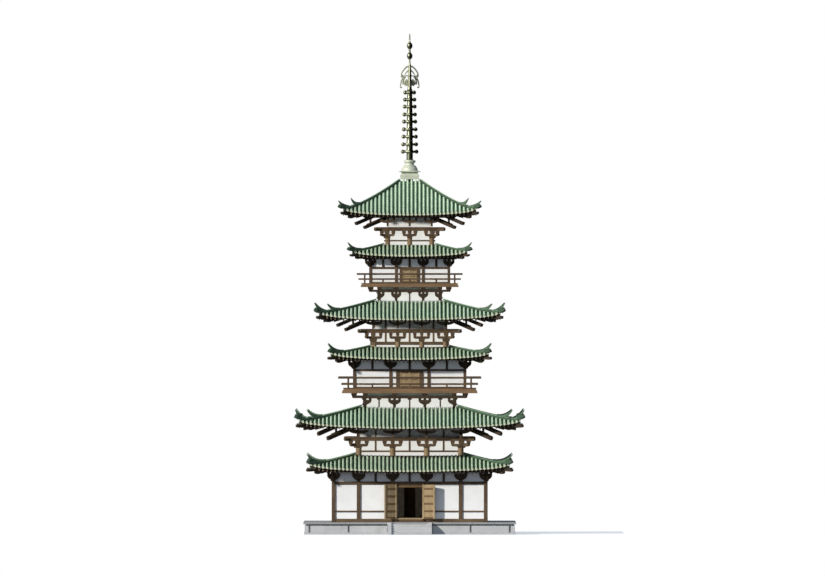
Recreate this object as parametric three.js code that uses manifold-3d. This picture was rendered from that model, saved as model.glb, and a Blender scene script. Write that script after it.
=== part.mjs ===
// A three-storey timber pagoda. Each storey has a main roof and a skirt roof under it.
// Millimetres, +Z up. The origin is on the ground under the centre, and the front faces -Y.
import * as THREE from "three";
import { mergeVertices } from "three/addons/utils/BufferGeometryUtils.js";
import Module from "manifold-3d";

const wasm = await Module();
wasm.setup();

// Stone podium: half widths and top heights of its three courses.
const PODIUM = {
  footing: { half: 7380, top: 130 },
  wall: { half: 7330, top: 710 },
  coping: { half: 7420, top: 840 },
};
const STAIR = { risers: 5, tread: 300, half: 1260, cheek: 290, landing: 140, foot: 8750, footHeight: 200 };

// Ground gallery: the wall line, its posts and the heights of its members.
const PORCH = {
  wall: 5310,
  face: 5355,
  post: 135,
  lines: [1190, 3560, 5310],
  floor: 840,
  sill: 1080,
  midRail: [1540, 1650],
  head: [3465, 3675],
  bracket: [3675, 4095, 4360],
  depth: 145,
  arm: 525,
  struts: [-2375, 0, 2375],
};
const DOORWAY = { half: 880, jamb: 130, threshold: 1150, lintel: 3250 };
const LEAF = {
  hinge: 930,
  line: 5495,
  half: 30,
  reach: 924,
  z: [1085, 3462],
  batten: 28,
  openAngle: 155,
  pin: 22,
  bore: 24,
  socket: 65,
  pinEnds: [985.3, 3560],
  boreEnds: [985, 3570],
  topSocket: [3470, 3600],
  footSocket: [950, 1075],
};

// Upper galleries, each behind a balcony.
const GALLERIES = {
  2: {
    wall: 3860,
    face: 3900,
    depth: 110,
    lines: [1330, 3860],
    post: 105,
    floor: 10150,
    sill: 10290,
    head: [11375, 11515],
    bracket: [11515, 11890, 12150],
    arm: 450,
    struts: [-2600, 0, 2600],
    door: { half: 770, frame: 960, lintel: 11300 },
  },
  3: {
    wall: 2740,
    face: 2780,
    depth: 100,
    lines: [940, 2740],
    post: 95,
    floor: 17490,
    sill: 17610,
    head: [18515, 18655],
    bracket: [18655, 18990, 19280],
    arm: 380,
    struts: [-1860, 0, 1860],
    door: { half: 560, frame: 720, lintel: 18440 },
  },
};

// The tall core of each storey, whose walls show between the skirt roof and the main roof.
// arms: how far the two lower bracket arms reach; tails: tips of the slanting cantilevers.
const CORES = {
  1: {
    wall: 3560,
    face: 3605,
    lines: [1190, 3560],
    radius: 200,
    pillarSides: 8,
    floor: 840,
    ledger: { v: [3340, 3800], z: [4850, 5480] },
    wallTop: 7948,
    rail: [5680, 5830],
    bracket: [6010, 6265, 6500],
    beamTop: 6740,
    arm: 430,
    struts: [-2375, 0, 2375],
    arms: [4150, 4700],
    tail: { tip: [5500, 6850], corner: [[5740, 6650], [6400, 6970]], depth: 190 },
    outer: { v: [5080, 5220], z: 7060 },
    plate: { v: [2950, 3700], z: [7948, 8150] },
  },
  2: {
    wall: 2500,
    face: 2540,
    lines: [840, 2500],
    radius: 170,
    pillarSides: 4,
    floor: 10150,
    ledger: { v: [2330, 2700], z: [12560, 13060] },
    wallTop: 15440,
    rail: [13160, 13340],
    bracket: [13510, 13780, 14050],
    beamTop: 14230,
    arm: 330,
    struts: [-1670, 0, 1670],
    arms: [3040, 3545],
    tail: { tip: [4280, 14440], corner: [[4500, 14250], [5060, 14560]], depth: 180 },
    outer: { v: [3900, 4020], z: 14630 },
    plate: { v: [2000, 2650], z: [15440, 15700] },
  },
  3: {
    wall: 1540,
    face: 1580,
    lines: [0, 1540],
    radius: 150,
    pillarSides: 4,
    floor: 17490,
    ledger: { v: [1390, 1800], z: [19640, 20200] },
    wallTop: 22600,
    rail: [20440, 20545],
    bracket: [20700, 20930, 21175],
    beamTop: 21350,
    arm: 300,
    struts: [-770, 770],
    arms: [1990, 2405],
    tail: { tip: [3010, 21570], corner: [[3190, 21400], [3780, 21670]], depth: 170 },
    outer: { v: [2690, 2800], z: 21730 },
    plate: { v: [1450, 1760], z: [22600, 22880] },
  },
};
const TAIL_SLOPE = 0.43;

// The framed base that carries each balcony, standing on the roof below it.
const BALCONIES = {
  2: {
    wall: 3110,
    face: 3150,
    lines: [1060, 3110],
    post: 100,
    sill: { v: [3000, 3260], z: [8150, 8330] },
    bracket: [9050, 9470],
    arm: 360,
    struts: [-2140, 0, 2140],
    purlin: { v: [3850, 3990], z: [9490, 9650] },
    deck: { half: 4750, z: [9835, 10150], hole: 380 },
    rails: {
      line: 4300,
      half: 50,
      bars: [[4650, 10150, 10260], [4760, 10430, 10540], [4970, 10880, 11000]],
      struts: [-2600, 0, 2600],
    },
  },
  3: {
    wall: 2110,
    face: 2150,
    lines: [945, 2110],
    post: 90,
    sill: { v: [2000, 2260], z: [15700, 15880] },
    bracket: [16490, 16890],
    arm: 300,
    struts: [0],
    purlin: { v: [2700, 2820], z: [16910, 17070] },
    deck: { half: 3440, z: [17250, 17490], hole: 330 },
    rails: {
      line: 3150,
      half: 45,
      bars: [[3400, 17490, 17590], [3580, 17760, 17860], [3690, 18125, 18235]],
      struts: [-1860, 0, 1860],
    },
  },
};

// Roofs from the ground up: half widths at the top edge and at the eave, their heights, how far
// the corners turn up, how the slope sags, and the slope of the boarding under the eaves.
// horns and block give the ends of the hip ridges, beam the noses of the hip beams below them.
const ROOFS = {
  1: {
    inner: 3800,
    outer: 6950,
    top: 5500,
    eave: 4535,
    lift: 320,
    sag: 1.1,
    soffit: 0.2,
    horns: [[7200, 5635]],
    block: { out: 7220, z: [4865, 5215] },
    beam: { from: 5310, heel: [6600, 4130, 4375], nose: [7170, 4375, 4530] },
  },
  2: {
    inner: 3300,
    outer: 7710,
    top: 8870,
    eave: 7580,
    lift: 320,
    sag: 1.1,
    soffit: 0.17,
    horns: [[7190, 8715], [8000, 8750]],
    block: { out: 8050, z: [8015, 8365] },
    ridgeFrom: 3400,
    beam: { from: 5100, heel: [7050, 7280, 7420], nose: [7890, 7500, 7670] },
  },
  3: {
    inner: 2700,
    outer: 5500,
    top: 13080,
    eave: 12350,
    lift: 270,
    sag: 1.1,
    soffit: 0.2,
    horns: [[5720, 13335]],
    block: { out: 5740, z: [12635, 12900] },
    beam: { from: 3860, heel: [5200, 12000, 12200], nose: [5690, 12210, 12345] },
  },
  4: {
    inner: 2280,
    outer: 6310,
    top: 16310,
    eave: 15140,
    lift: 290,
    sag: 1.1,
    soffit: 0.17,
    horns: [[5775, 16110], [6660, 16180]],
    block: { out: 6700, z: [15435, 15785] },
    ridgeFrom: 2380,
    beam: { from: 3930, heel: [5720, 14850, 14990], nose: [6480, 15065, 15230] },
  },
  5: {
    inner: 1800,
    outer: 4000,
    top: 20220,
    eave: 19550,
    lift: 200,
    sag: 1.1,
    soffit: 0.2,
    horns: [[4340, 20400]],
    block: { out: 4400, z: [19765, 20010] },
    beam: { from: 2740, heel: [3760, 19210, 19400], nose: [4150, 19410, 19540] },
  },
  6: {
    inner: 620,
    outer: 4620,
    top: 24800,
    eave: 22420,
    lift: 315,
    sag: 1.25,
    soffit: 0.17,
    horns: [[4130, 23500], [5000, 23310]],
    block: { out: 5030, z: [22740, 23000] },
    beam: { from: 2740, heel: [4120, 22150, 22290], nose: [4780, 22360, 22520] },
    hollow: true,
    ridgeFrom: 740,
  },
};
const TILE_DEPTH = 160;
const EAVE_BOARD = 140;
const TILE_OVERHANG = 150;
const ROOF_SHELL = 300;
const RIDGE = { width: 240, sunk: 60, low: 130, high: 200 };
const HIP_BEAM_WIDTH = 230;
const CLEAR = 0.3;

// Bronze finial, from the basin on the roof to the tip.
const FINIAL = {
  basin: { half: 680, top: 25220 },
  plate: { half: 785, top: 25390 },
  bowl: [[0, 25390], [560, 25390], [575, 25520], [510, 25690], [440, 25740], [440, 25830], [335, 25860],
    [335, 25960], [410, 26010], [410, 26100], [300, 26150], [0, 26150]],
  shaftFoot: 26150,
  shaft: [240, 195],
  neck: 31020,
  ringHeights: [26730, 27240, 27780, 28290, 28830, 29330, 29880, 30370, 30870],
  ringRadius: [620, 455],
  rim: 110,
  rod: 55,
  balls: [[33460, 200], [34160, 200]],
  tip: 35000,
  flame: { z: [31260, 32700], half: 650, thick: 50, collar: 100 },
};
const PILLAR = { base: 840, foot: 400, head: 240, top: 24800 };

const FINISH = {
  stone: { color: 0xb6b6b6, roughness: 0.9, metalness: 0 },
  wood: { color: 0x534230, roughness: 0.8, metalness: 0 },
  paleWood: { color: 0x91765b, roughness: 0.75, metalness: 0 },
  doorWood: { color: 0xa89575, roughness: 0.75, metalness: 0 },
  plaster: { color: 0xf0f0f0, roughness: 0.95, metalness: 0 },
  tile: { color: 0x506248, roughness: 0.5, metalness: 0 },
  bronze: { color: 0xadb09b, roughness: 0.45, metalness: 1 },
};

const MERGE_DISTANCE = 1e-3;
const FRONT = [0, -1];
const ALONG_FRONT = [1, 0];
const TO_CORNER = [1, -1];
const UP = new THREE.Vector3(0, 0, 1);
const ROUND = 12;
const SPIRE_SIDES = 8;

// The four quarter turns about the vertical axis, with no rounding in them.
const QUARTER_TURNS = [[1, 0], [0, 1], [-1, 0], [0, -1]].map(([c, s]) =>
  new THREE.Matrix4().set(c, -s, 0, 0, s, c, 0, 0, 0, 0, 1, 0, 0, 0, 0, 1),
);
const STAND_UP = new THREE.Matrix4().makeBasis(
  new THREE.Vector3(1, 0, 0),
  UP,
  new THREE.Vector3(0, -1, 0),
);

const sameBothWays = (half) => [-half, half];

function turn(geometry, quarter) {
  return geometry.clone().applyMatrix4(QUARTER_TURNS[quarter]);
}

function onFourSides(pieces) {
  return pieces.flat(Infinity).flatMap((piece) => [0, 1, 2, 3].map((quarter) => turn(piece, quarter)));
}

function box(x, y, z) {
  return new THREE.BoxGeometry(x[1] - x[0], y[1] - y[0], z[1] - z[0]).translate(
    (x[0] + x[1]) / 2,
    (y[0] + y[1]) / 2,
    (z[0] + z[1]) / 2,
  );
}

// A bar on the front side, with v its distances out from the centre.
function frontBar(x, v, z) {
  return box(x, [-v[1], -v[0]], z);
}

function shapeOf(points) {
  return new THREE.Shape(points.map(([x, y]) => new THREE.Vector2(x, y)));
}

function squareRing(v, z) {
  const corners = (half) => [[-half, -half], [half, -half], [half, half], [-half, half]];
  const shape = shapeOf(corners(v[1]));
  shape.holes.push(shapeOf(corners(v[0])));
  return new THREE.ExtrudeGeometry(shape, { depth: z[1] - z[0], bevelEnabled: false }).translate(0, 0, z[0]);
}

// An outline of [distance, height] points, standing on the plan direction `along`.
function upright(points, along, thickness) {
  const [x, y] = along;
  const length = Math.hypot(x, y);
  const across = new THREE.Vector3(y / length, -x / length, 0);
  const basis = new THREE.Matrix4().makeBasis(new THREE.Vector3(x, y, 0), UP, across);
  return new THREE.ExtrudeGeometry(shapeOf(points), { depth: thickness, bevelEnabled: false })
    .translate(0, 0, -thickness / 2)
    .applyMatrix4(basis);
}

// A profile of [radius, height] points turned about the vertical axis.
function turned(profile, sides = ROUND) {
  const points = profile.map(([radius, height]) => new THREE.Vector2(radius, height));
  return new THREE.LatheGeometry(points, sides).applyMatrix4(STAND_UP);
}

function roundPost(radius, z, sides = ROUND) {
  return turned([[0, z[0]], [radius, z[0]], [radius, z[1]], [0, z[1]]], sides);
}

// A closed three.js geometry as a solid that can be joined and cut.
function solid(geometry) {
  const bare = geometry.index ? geometry.toNonIndexed() : geometry.clone();
  bare.deleteAttribute("normal");
  bare.deleteAttribute("uv");
  const merged = mergeVertices(bare, MERGE_DISTANCE);
  const index = merged.index.array;
  const triVerts = [];
  for (let i = 0; i < index.length; i += 3) {
    const [a, b, c] = [index[i], index[i + 1], index[i + 2]];
    if (a !== b && b !== c && c !== a) {
      triVerts.push(a, b, c);
    }
  }
  return new wasm.Manifold(
    new wasm.Mesh({
      numProp: 3,
      vertProperties: merged.attributes.position.array,
      triVerts: new Uint32Array(triVerts),
    }),
  );
}

function join(...pieces) {
  return pieces
    .flat(Infinity)
    .map((piece) => (piece.isBufferGeometry ? solid(piece) : piece))
    .reduce((whole, piece) => whole.add(piece))
    .asOriginal()
    .simplify();
}

const pagoda = new THREE.Group();

function addPiece(name, made, finish) {
  const { vertProperties, triVerts } = made.getMesh();
  const geometry = new THREE.BufferGeometry()
    .setAttribute("position", new THREE.BufferAttribute(vertProperties, 3))
    .setIndex(new THREE.BufferAttribute(triVerts, 1));
  const material = new THREE.MeshStandardMaterial({ ...finish, flatShading: true });
  const mesh = new THREE.Mesh(geometry, material);
  mesh.name = name;
  pagoda.add(mesh);
  return mesh;
}

// Podium and stairs

function addPodium() {
  const { footing, wall, coping } = PODIUM;
  const slab = (half, z) => join(box(sameBothWays(half), sameBothWays(half), z));
  addPiece("podium_footing", slab(footing.half, [0, footing.top]), FINISH.stone);
  addPiece("podium_wall", slab(wall.half, [footing.top, wall.top]), FINISH.stone);
  addPiece("podium_coping", slab(coping.half, [wall.top, coping.top]), FINISH.stone);
}

// The back of a stair follows the podium's courses.
function stairBack() {
  const { footing, wall, coping } = PODIUM;
  return [
    [footing.half, 0],
    [footing.half, footing.top],
    [wall.half, footing.top],
    [wall.half, wall.top],
    [coping.half, wall.top],
  ];
}

function stepsOutline() {
  const rise = PODIUM.coping.top / STAIR.risers;
  const start = PODIUM.coping.half;
  const points = [];
  for (let step = STAIR.risers - 1; step > 0; step -= 1) {
    const run = STAIR.risers - 1 - step;
    points.push([start + run * STAIR.tread, step * rise]);
    points.push([start + (run + 1) * STAIR.tread, step * rise]);
  }
  points.push([start + (STAIR.risers - 1) * STAIR.tread, 0]);
  return [...points, ...stairBack()];
}

function cheekOutline() {
  const start = PODIUM.coping.half;
  const top = PODIUM.coping.top;
  return [
    [start, top],
    [start + STAIR.landing, top],
    [STAIR.foot, STAIR.footHeight],
    [STAIR.foot, 0],
    ...stairBack(),
  ];
}

function addStairs() {
  for (const [side, quarter] of [["front", 0], ["back", 2]]) {
    const steps = turn(upright(stepsOutline(), FRONT, 2 * STAIR.half), quarter);
    addPiece(`${side}_steps`, join(steps), FINISH.stone);
    for (const [hand, sign] of [["left", -1], ["right", 1]]) {
      const middle = sign * (STAIR.half + STAIR.cheek / 2);
      const flip = quarter === 2 ? -1 : 1;
      const cheek = upright(cheekOutline(), FRONT, STAIR.cheek).translate(flip * middle, 0, 0);
      addPiece(`${side}_cheek_${hand}`, join(turn(cheek, quarter)), FINISH.stone);
    }
  }
}

// Ground gallery

function porchSlab(x, z) {
  return frontBar(x, [2 * PORCH.wall - PORCH.face, PORCH.face], z);
}

// Posts and beams on the outer face of the wall, with whole posts at the corners.
function porchFrame(isFront, hasCorners) {
  const { wall, face, post, floor, sill, head, midRail, bracket, struts } = PORCH;
  const { half, jamb, threshold, lintel } = DOORWAY;
  const end = hasCorners ? wall : wall - post;
  const outer = [face, wall + post];
  const deep = [2 * wall - face, wall + post];
  const pieces = [
    frontBar(sameBothWays(end), deep, [floor, sill]),
    frontBar(sameBothWays(end), outer, head),
    frontBar(sameBothWays(half + jamb), isFront ? deep : outer, [sill, threshold]),
    frontBar(sameBothWays(half + jamb), isFront ? deep : outer, [lintel, head[0]]),
    struts.map((x) => frontBar([x - 85, x + 85], outer, [head[1] - 5, bracket[2]])),
  ];
  for (const sign of [-1, 1]) {
    const between = (from, to) => (sign > 0 ? [from, to] : [-to, -from]);
    pieces.push(frontBar(between(half, half + jamb), isFront ? deep : outer, [sill, head[0]]));
    pieces.push(frontBar(between(half + jamb, end), outer, midRail));
    for (const x of PORCH.lines.slice(0, 2)) {
      pieces.push(frontBar(between(x - post, x + post), outer, [sill - 5, head[1]]));
    }
    if (hasCorners) {
      pieces.push(frontBar(between(wall - post, wall + post), [wall - post, wall + post], [floor, head[1]]));
      pieces.push(frontBar(between(wall - post, face), [wall - post, face], [head[1] - 5, bracket[2]]));
    }
    if (isFront) {
      pieces.push(hingeSocket(sign * LEAF.hinge, LEAF.topSocket));
      pieces.push(hingeSocket(sign * LEAF.hinge, LEAF.footSocket));
    }
  }
  if (!isFront) {
    pieces.push(frontBar(sameBothWays(half + 5), [face, face + 45], [threshold - 5, lintel + 5]));
  }
  return pieces;
}

function hingeSocket(x, z) {
  const { line, socket } = LEAF;
  return frontBar([x - socket, x + socket], [line - socket, line + socket], z);
}

function hingeBores() {
  return [-1, 1].map((sign) =>
    roundPost(LEAF.bore, LEAF.boreEnds).translate(sign * LEAF.hinge, -LEAF.line, 0),
  );
}

function addPorch() {
  const { wall, post, sill, head, bracket } = PORCH;
  const end = wall - post;
  const door = DOORWAY.half + DOORWAY.jamb;
  const wallZ = [sill, bracket[2]];
  const left = join(porchSlab([-end, -door], wallZ));
  const right = join(porchSlab([door, end], wallZ));
  const over = join(porchSlab([-door, door], [head[0], bracket[2]]));
  const frame = join(porchFrame(true, true)).subtract(join(hingeBores()));
  addPiece("gallery_1_front_frame", frame, FINISH.wood);
  addPiece("front_wall_left", left, FINISH.plaster);
  addPiece("front_wall_right", right, FINISH.plaster);
  addPiece("front_wall_over_door", over, FINISH.plaster);
  for (const [side, quarter] of [["right", 1], ["back", 2], ["left", 3]]) {
    const slab = join(turn(porchSlab([-end, end], wallZ), quarter));
    const pieces = porchFrame(false, side === "back").flat(Infinity);
    const closed = join(pieces.map((piece) => turn(piece, quarter)));
    addPiece(`gallery_1_${side}_frame`, closed, FINISH.wood);
    addPiece(`${side}_wall`, slab, FINISH.plaster);
  }
}

// One leaf of the front door, drawn shut about its hinge and then swung open.
function addDoorLeaf(name, sign) {
  const { hinge, line, half, reach, z, batten, openAngle, pin, pinEnds } = LEAF;
  const across = (from, to) => (sign > 0 ? [-to, -from] : [from, to]);
  const face = [half - 1, half + batten];
  const bottom = DOORWAY.threshold + 10;
  const top = DOORWAY.lintel - 10;
  const inner = 90;
  const outer = reach - 54;
  const pieces = [
    box(across(-half, reach), [-half, half], z),
    roundPost(pin, [pinEnds[0], z[0] + 20]),
    roundPost(pin, [z[1] - 20, pinEnds[1]]),
    box(across(inner, inner + 110), face, [bottom, top]),
    box(across(outer - 110, outer), face, [bottom, top]),
  ];
  const ledges = 4;
  for (let i = 0; i < ledges; i += 1) {
    const low = bottom + (i * (top - bottom - 130)) / (ledges - 1);
    pieces.push(box(across(inner, outer), face, [low, low + 130]));
  }
  const leaf = addPiece(name, join(pieces), FINISH.doorWood);
  leaf.position.set(sign * hinge, -line, 0);
  leaf.rotation.z = THREE.MathUtils.degToRad(sign * openAngle);
}

// Brackets and walls

// The places along a side, left to right, of what stands on the given lines.
function mirrored(lines) {
  return lines.flatMap((x) => (x ? [-x, x] : [0])).sort((a, b) => a - b);
}

// A beam along each side with the brackets that carry it, each a bearing block under a spreading arm.
function bracketedBeam(lines, v, levels, arm, end, top) {
  const [foot, tip, beam] = levels;
  const points = [[end, beam], [end, top], [-end, top], [-end, beam]];
  for (const x of mirrored(lines)) {
    const left = [
      [x - arm, beam],
      [x - arm, tip],
      [x - 0.3 * arm, foot],
    ];
    points.push(...left, ...left.map(([at, z]) => [2 * x - at, z]).reverse());
  }
  const outline = points.filter(([x, z], i) => {
    const [nextX, nextZ] = points[(i + 1) % points.length];
    return x !== nextX || z !== nextZ;
  });
  const beams = upright(outline, ALONG_FRONT, v[1] - v[0]).translate(0, -(v[0] + v[1]) / 2, 0);
  return onFourSides([beams]);
}

// Posts on the outer face of a wall.
function posts(lines, half, v, z) {
  return onFourSides(mirrored(lines).map((x) => frontBar([x - half, x + half], v, z)));
}

// Roofs

// The height of the tiles at v out from the centre, s of the way from the middle to the hip.
function tileHeight(roof, v, s) {
  const t = (v - roof.inner) / (roof.outer - roof.inner);
  const slope = (roof.top - roof.eave) * Math.max(0, 1 - t) ** roof.sag;
  return roof.eave + slope + cornerLift(roof, v, s);
}

function cornerLift(roof, v, s) {
  const t = (v - roof.inner) / (roof.outer - roof.inner);
  return roof.lift * t * ((Math.abs(s) * v) / roof.outer) ** 5;
}

function soffitHeight(roof, v, s) {
  const edge = roof.outer - TILE_OVERHANG;
  return roof.eave - TILE_DEPTH - EAVE_BOARD + roof.soffit * (edge - v) + cornerLift(roof, v, s);
}

function roofRows(roof) {
  const edge = roof.outer - TILE_OVERHANG;
  if (roof.hollow) {
    return [roof.inner, 1750, 3000, edge];
  }
  return [roof.inner, (roof.inner + roof.outer) / 2, edge];
}

// A closed ring of sheet on four sides, between a top height and a bottom height.
function ringSheet(rows, top, bottom) {
  const columns = [-1, -0.72, 0.72, 1];
  const positions = [];
  const quad = (a, b, c, d) => positions.push(...a, ...b, ...c, ...a, ...c, ...d);
  const point = (height, v, s) => [s * v, -v, height(v, s)];
  const last = rows.length - 1;
  for (let j = 0; j + 1 < columns.length; j += 1) {
    const [s, next] = [columns[j], columns[j + 1]];
    for (let i = 0; i < last; i += 1) {
      const [v, out] = [rows[i], rows[i + 1]];
      quad(point(top, out, s), point(top, out, next), point(top, v, next), point(top, v, s));
      quad(point(bottom, v, next), point(bottom, out, next), point(bottom, out, s), point(bottom, v, s));
    }
    const [rim, edge] = [rows[0], rows[last]];
    quad(point(bottom, edge, s), point(bottom, edge, next), point(top, edge, next), point(top, edge, s));
    quad(point(bottom, rim, next), point(bottom, rim, s), point(top, rim, s), point(top, rim, next));
  }
  const side = new THREE.BufferGeometry().setAttribute(
    "position",
    new THREE.Float32BufferAttribute(positions, 3),
  );
  const all = onFourSides([side]).flatMap((quarter) => [...quarter.attributes.position.array]);
  return new THREE.BufferGeometry().setAttribute("position", new THREE.Float32BufferAttribute(all, 3));
}

// The upper edge of an upturned ridge end, from its tip back to where it leaves the ridge.
function hornCurve(tip, foot) {
  const bend = [tip[0] - 0.22 * (tip[0] - foot[0]), foot[1] + 10];
  const along = (t) =>
    [0, 1].map((k) => (1 - t) ** 2 * foot[k] + 2 * t * (1 - t) * bend[k] + t ** 2 * tip[k]);
  return [1, 0.6, 0].map(along);
}

function ridgeOutline(roof) {
  const hip = (v) => tileHeight(roof, v, 1);
  const start = roof.ridgeFrom ?? roof.inner;
  const middle = (start + roof.outer) / 2;
  const near = roof.outer - 70;
  const { out, z } = roof.block;
  const tip = roof.horns.at(-1);
  const points = [
    [start, hip(start) - RIDGE.sunk],
    [middle, hip(middle) - RIDGE.sunk],
    [near, hip(near) - RIDGE.sunk],
    [roof.outer, z[0]],
    [out, z[0]],
    [out, z[1]],
    [tip[0] - 90, z[1]],
  ];
  if (roof.horns.length === 1) {
    const foot = roof.outer - 450;
    points.push(...hornCurve(tip, [foot, hip(foot) + RIDGE.low]));
    points.push([middle, hip(middle) + RIDGE.low], [start, hip(start) + RIDGE.low]);
    return points;
  }
  const [inner] = roof.horns;
  const step = inner[0] - 130;
  const lowFoot = (inner[0] + tip[0]) / 2 - 120;
  const highFoot = inner[0] - 620;
  points.push(...hornCurve(tip, [lowFoot, hip(lowFoot) + RIDGE.low]));
  points.push([step, hip(step) + RIDGE.low]);
  points.push([step, hip(step) + RIDGE.high + 60]);
  points.push(...hornCurve(inner, [highFoot, hip(highFoot) + RIDGE.high]));
  points.push([middle, hip(middle) + RIDGE.high], [start, hip(start) + RIDGE.high]);
  return points;
}

function addTiles(level) {
  const roof = ROOFS[level];
  const rows = [...roofRows(roof), roof.outer];
  const top = (v, s) => tileHeight(roof, v, s);
  const bottom = (v, s) => tileHeight(roof, v, s) - TILE_DEPTH;
  const ridge = upright(ridgeOutline(roof), TO_CORNER, RIDGE.width);
  addPiece(`roof_${level}_tiles`, join(ringSheet(rows, top, bottom), onFourSides([ridge])), FINISH.tile);
}

// The boarded underside of a roof, with the hip beams at its corners.
function roofDeck(roof) {
  const top = (v, s) => tileHeight(roof, v, s) - TILE_DEPTH - CLEAR;
  const bottom = (v, s) =>
    roof.hollow && v === roof.inner ? top(v, s) - ROOF_SHELL : soffitHeight(roof, v, s);
  const { from, heel, nose } = roof.beam;
  const edge = roof.outer - TILE_OVERHANG;
  const hipBeam = [
    [from, heel[1] + roof.soffit * (heel[0] - from)],
    [heel[0], heel[1]],
    [heel[0], heel[2]],
    [nose[0], nose[1]],
    [nose[0], nose[2]],
    [edge, soffitHeight(roof, edge, 1) + 60],
    [from, soffitHeight(roof, from, 1) + 100],
  ];
  return [
    ringSheet(roofRows(roof), top, bottom),
    onFourSides([upright(hipBeam, TO_CORNER, HIP_BEAM_WIDTH)]),
  ];
}

// Skirt eaves: brackets over the gallery posts, the purlin on them and the deck on that.
function addSkirtEaves(name, roof, gallery) {
  const { face, lines, bracket, arm, depth } = gallery;
  const end = lines.at(-1) + arm;
  const top = Math.round(soffitHeight(roof, gallery.wall, 0) + 150);
  const pieces = [bracketedBeam(lines, [face, face + depth], bracket, arm, end, top), roofDeck(roof)];
  addPiece(name, join(pieces), FINISH.wood);
}

// Core of a storey

function addCoreFrame(level) {
  const { wall, face, lines, struts, radius, pillarSides, floor } = CORES[level];
  const { ledger, wallTop, rail, bracket } = CORES[level];
  const skin = [face, face + 120];
  const pillars = mirrored(lines).map((x) =>
    roundPost(radius, [floor, ledger.z[0] + 5], pillarSides)
      .rotateZ(Math.PI / pillarSides)
      .translate(x, -wall, 0),
  );
  const frame = join(
    onFourSides(pillars),
    squareRing(ledger.v, ledger.z),
    posts(lines, radius, skin, [ledger.z[1] - 5, bracket[0]]),
    squareRing(skin, rail),
    posts(struts, 85, skin, [rail[1] - 5, bracket[2]]),
  );
  addPiece(`core_${level}_frame`, frame, FINISH.wood);
  const slab = squareRing([2 * wall - face, face], [ledger.z[1], wallTop]);
  addPiece(`core_${level}_walls`, join(slab), FINISH.plaster);
}

// The side view of two outward arms and the slanting cantilever that they carry.
function armOutline(core, tip) {
  const [, tipZ, top] = core.bracket;
  const [near, far] = core.arms;
  const { depth } = core.tail;
  const low = (v) => tip[1] + TAIL_SLOPE * (tip[0] - v) - depth / 2;
  return [
    [core.face, tipZ - 95],
    [near, tipZ],
    [near, top],
    [far, top + 100],
    [far, low(far)],
    [tip[0] - 45, low(tip[0] - 45)],
    [tip[0] + 30, low(tip[0] + 30) + depth],
    [core.face, low(core.face) + depth],
  ];
}

function addCoreEaves(level, roof) {
  const core = CORES[level];
  const { face, lines, bracket, beamTop, arm, plate, tail } = core;
  const { v, z } = core.outer;
  const arms = upright(armOutline(core, tail.tip), FRONT, 150);
  const [reach, height] = tail.corner[1];
  const high = height + tail.depth / 2;
  const upperTail = [
    [reach - 45, high - tail.depth],
    [reach + 30, high],
    [v[0], high + TAIL_SLOPE * (reach + 30 - v[0])],
    [v[0], high - tail.depth + TAIL_SLOPE * (reach - 45 - v[0])],
  ];
  const cornerArms = [armOutline(core, tail.corner[0]), upperTail];
  const purlinTop = Math.round(soffitHeight(roof, v[0], 0) + 80);
  const pieces = [
    bracketedBeam(lines, [face, face + 150], bracket, arm, lines.at(-1) + arm, beamTop),
    onFourSides(mirrored(lines).map((x) => arms.clone().translate(x, 0, 0))),
    onFourSides(cornerArms.map((side) => upright(side, TO_CORNER, 190))),
    squareRing(v, [z, purlinTop]),
    squareRing(plate.v, plate.z),
    roofDeck(roof),
  ];
  addPiece(`core_${level}_eaves`, join(pieces), FINISH.wood);
}

// Balconies

// One side of a balcony base: the wall beam, and the posts and struts below it.
function balconyBoard(base) {
  const { face, lines, post, sill, bracket, arm, struts } = base;
  const [foot, beam] = bracket;
  const end = lines.at(-1) + arm;
  const points = [[end, beam + 20], [-end, beam + 20]];
  const legs = [...mirrored(lines).map((x) => [x, post, arm]), ...struts.map((x) => [x, 60, 0])];
  for (const [x, half, spread] of legs.sort((a, b) => a[0] - b[0])) {
    const left = spread ? [[x - spread, beam], [x - half, foot]] : [[x - half, beam]];
    left.push([x - half, sill.z[1] - 5]);
    points.push(...left, ...left.map(([at, z]) => [2 * x - at, z]).reverse());
  }
  return upright(points, ALONG_FRONT, 100).translate(0, -face - 50, 0);
}

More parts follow.
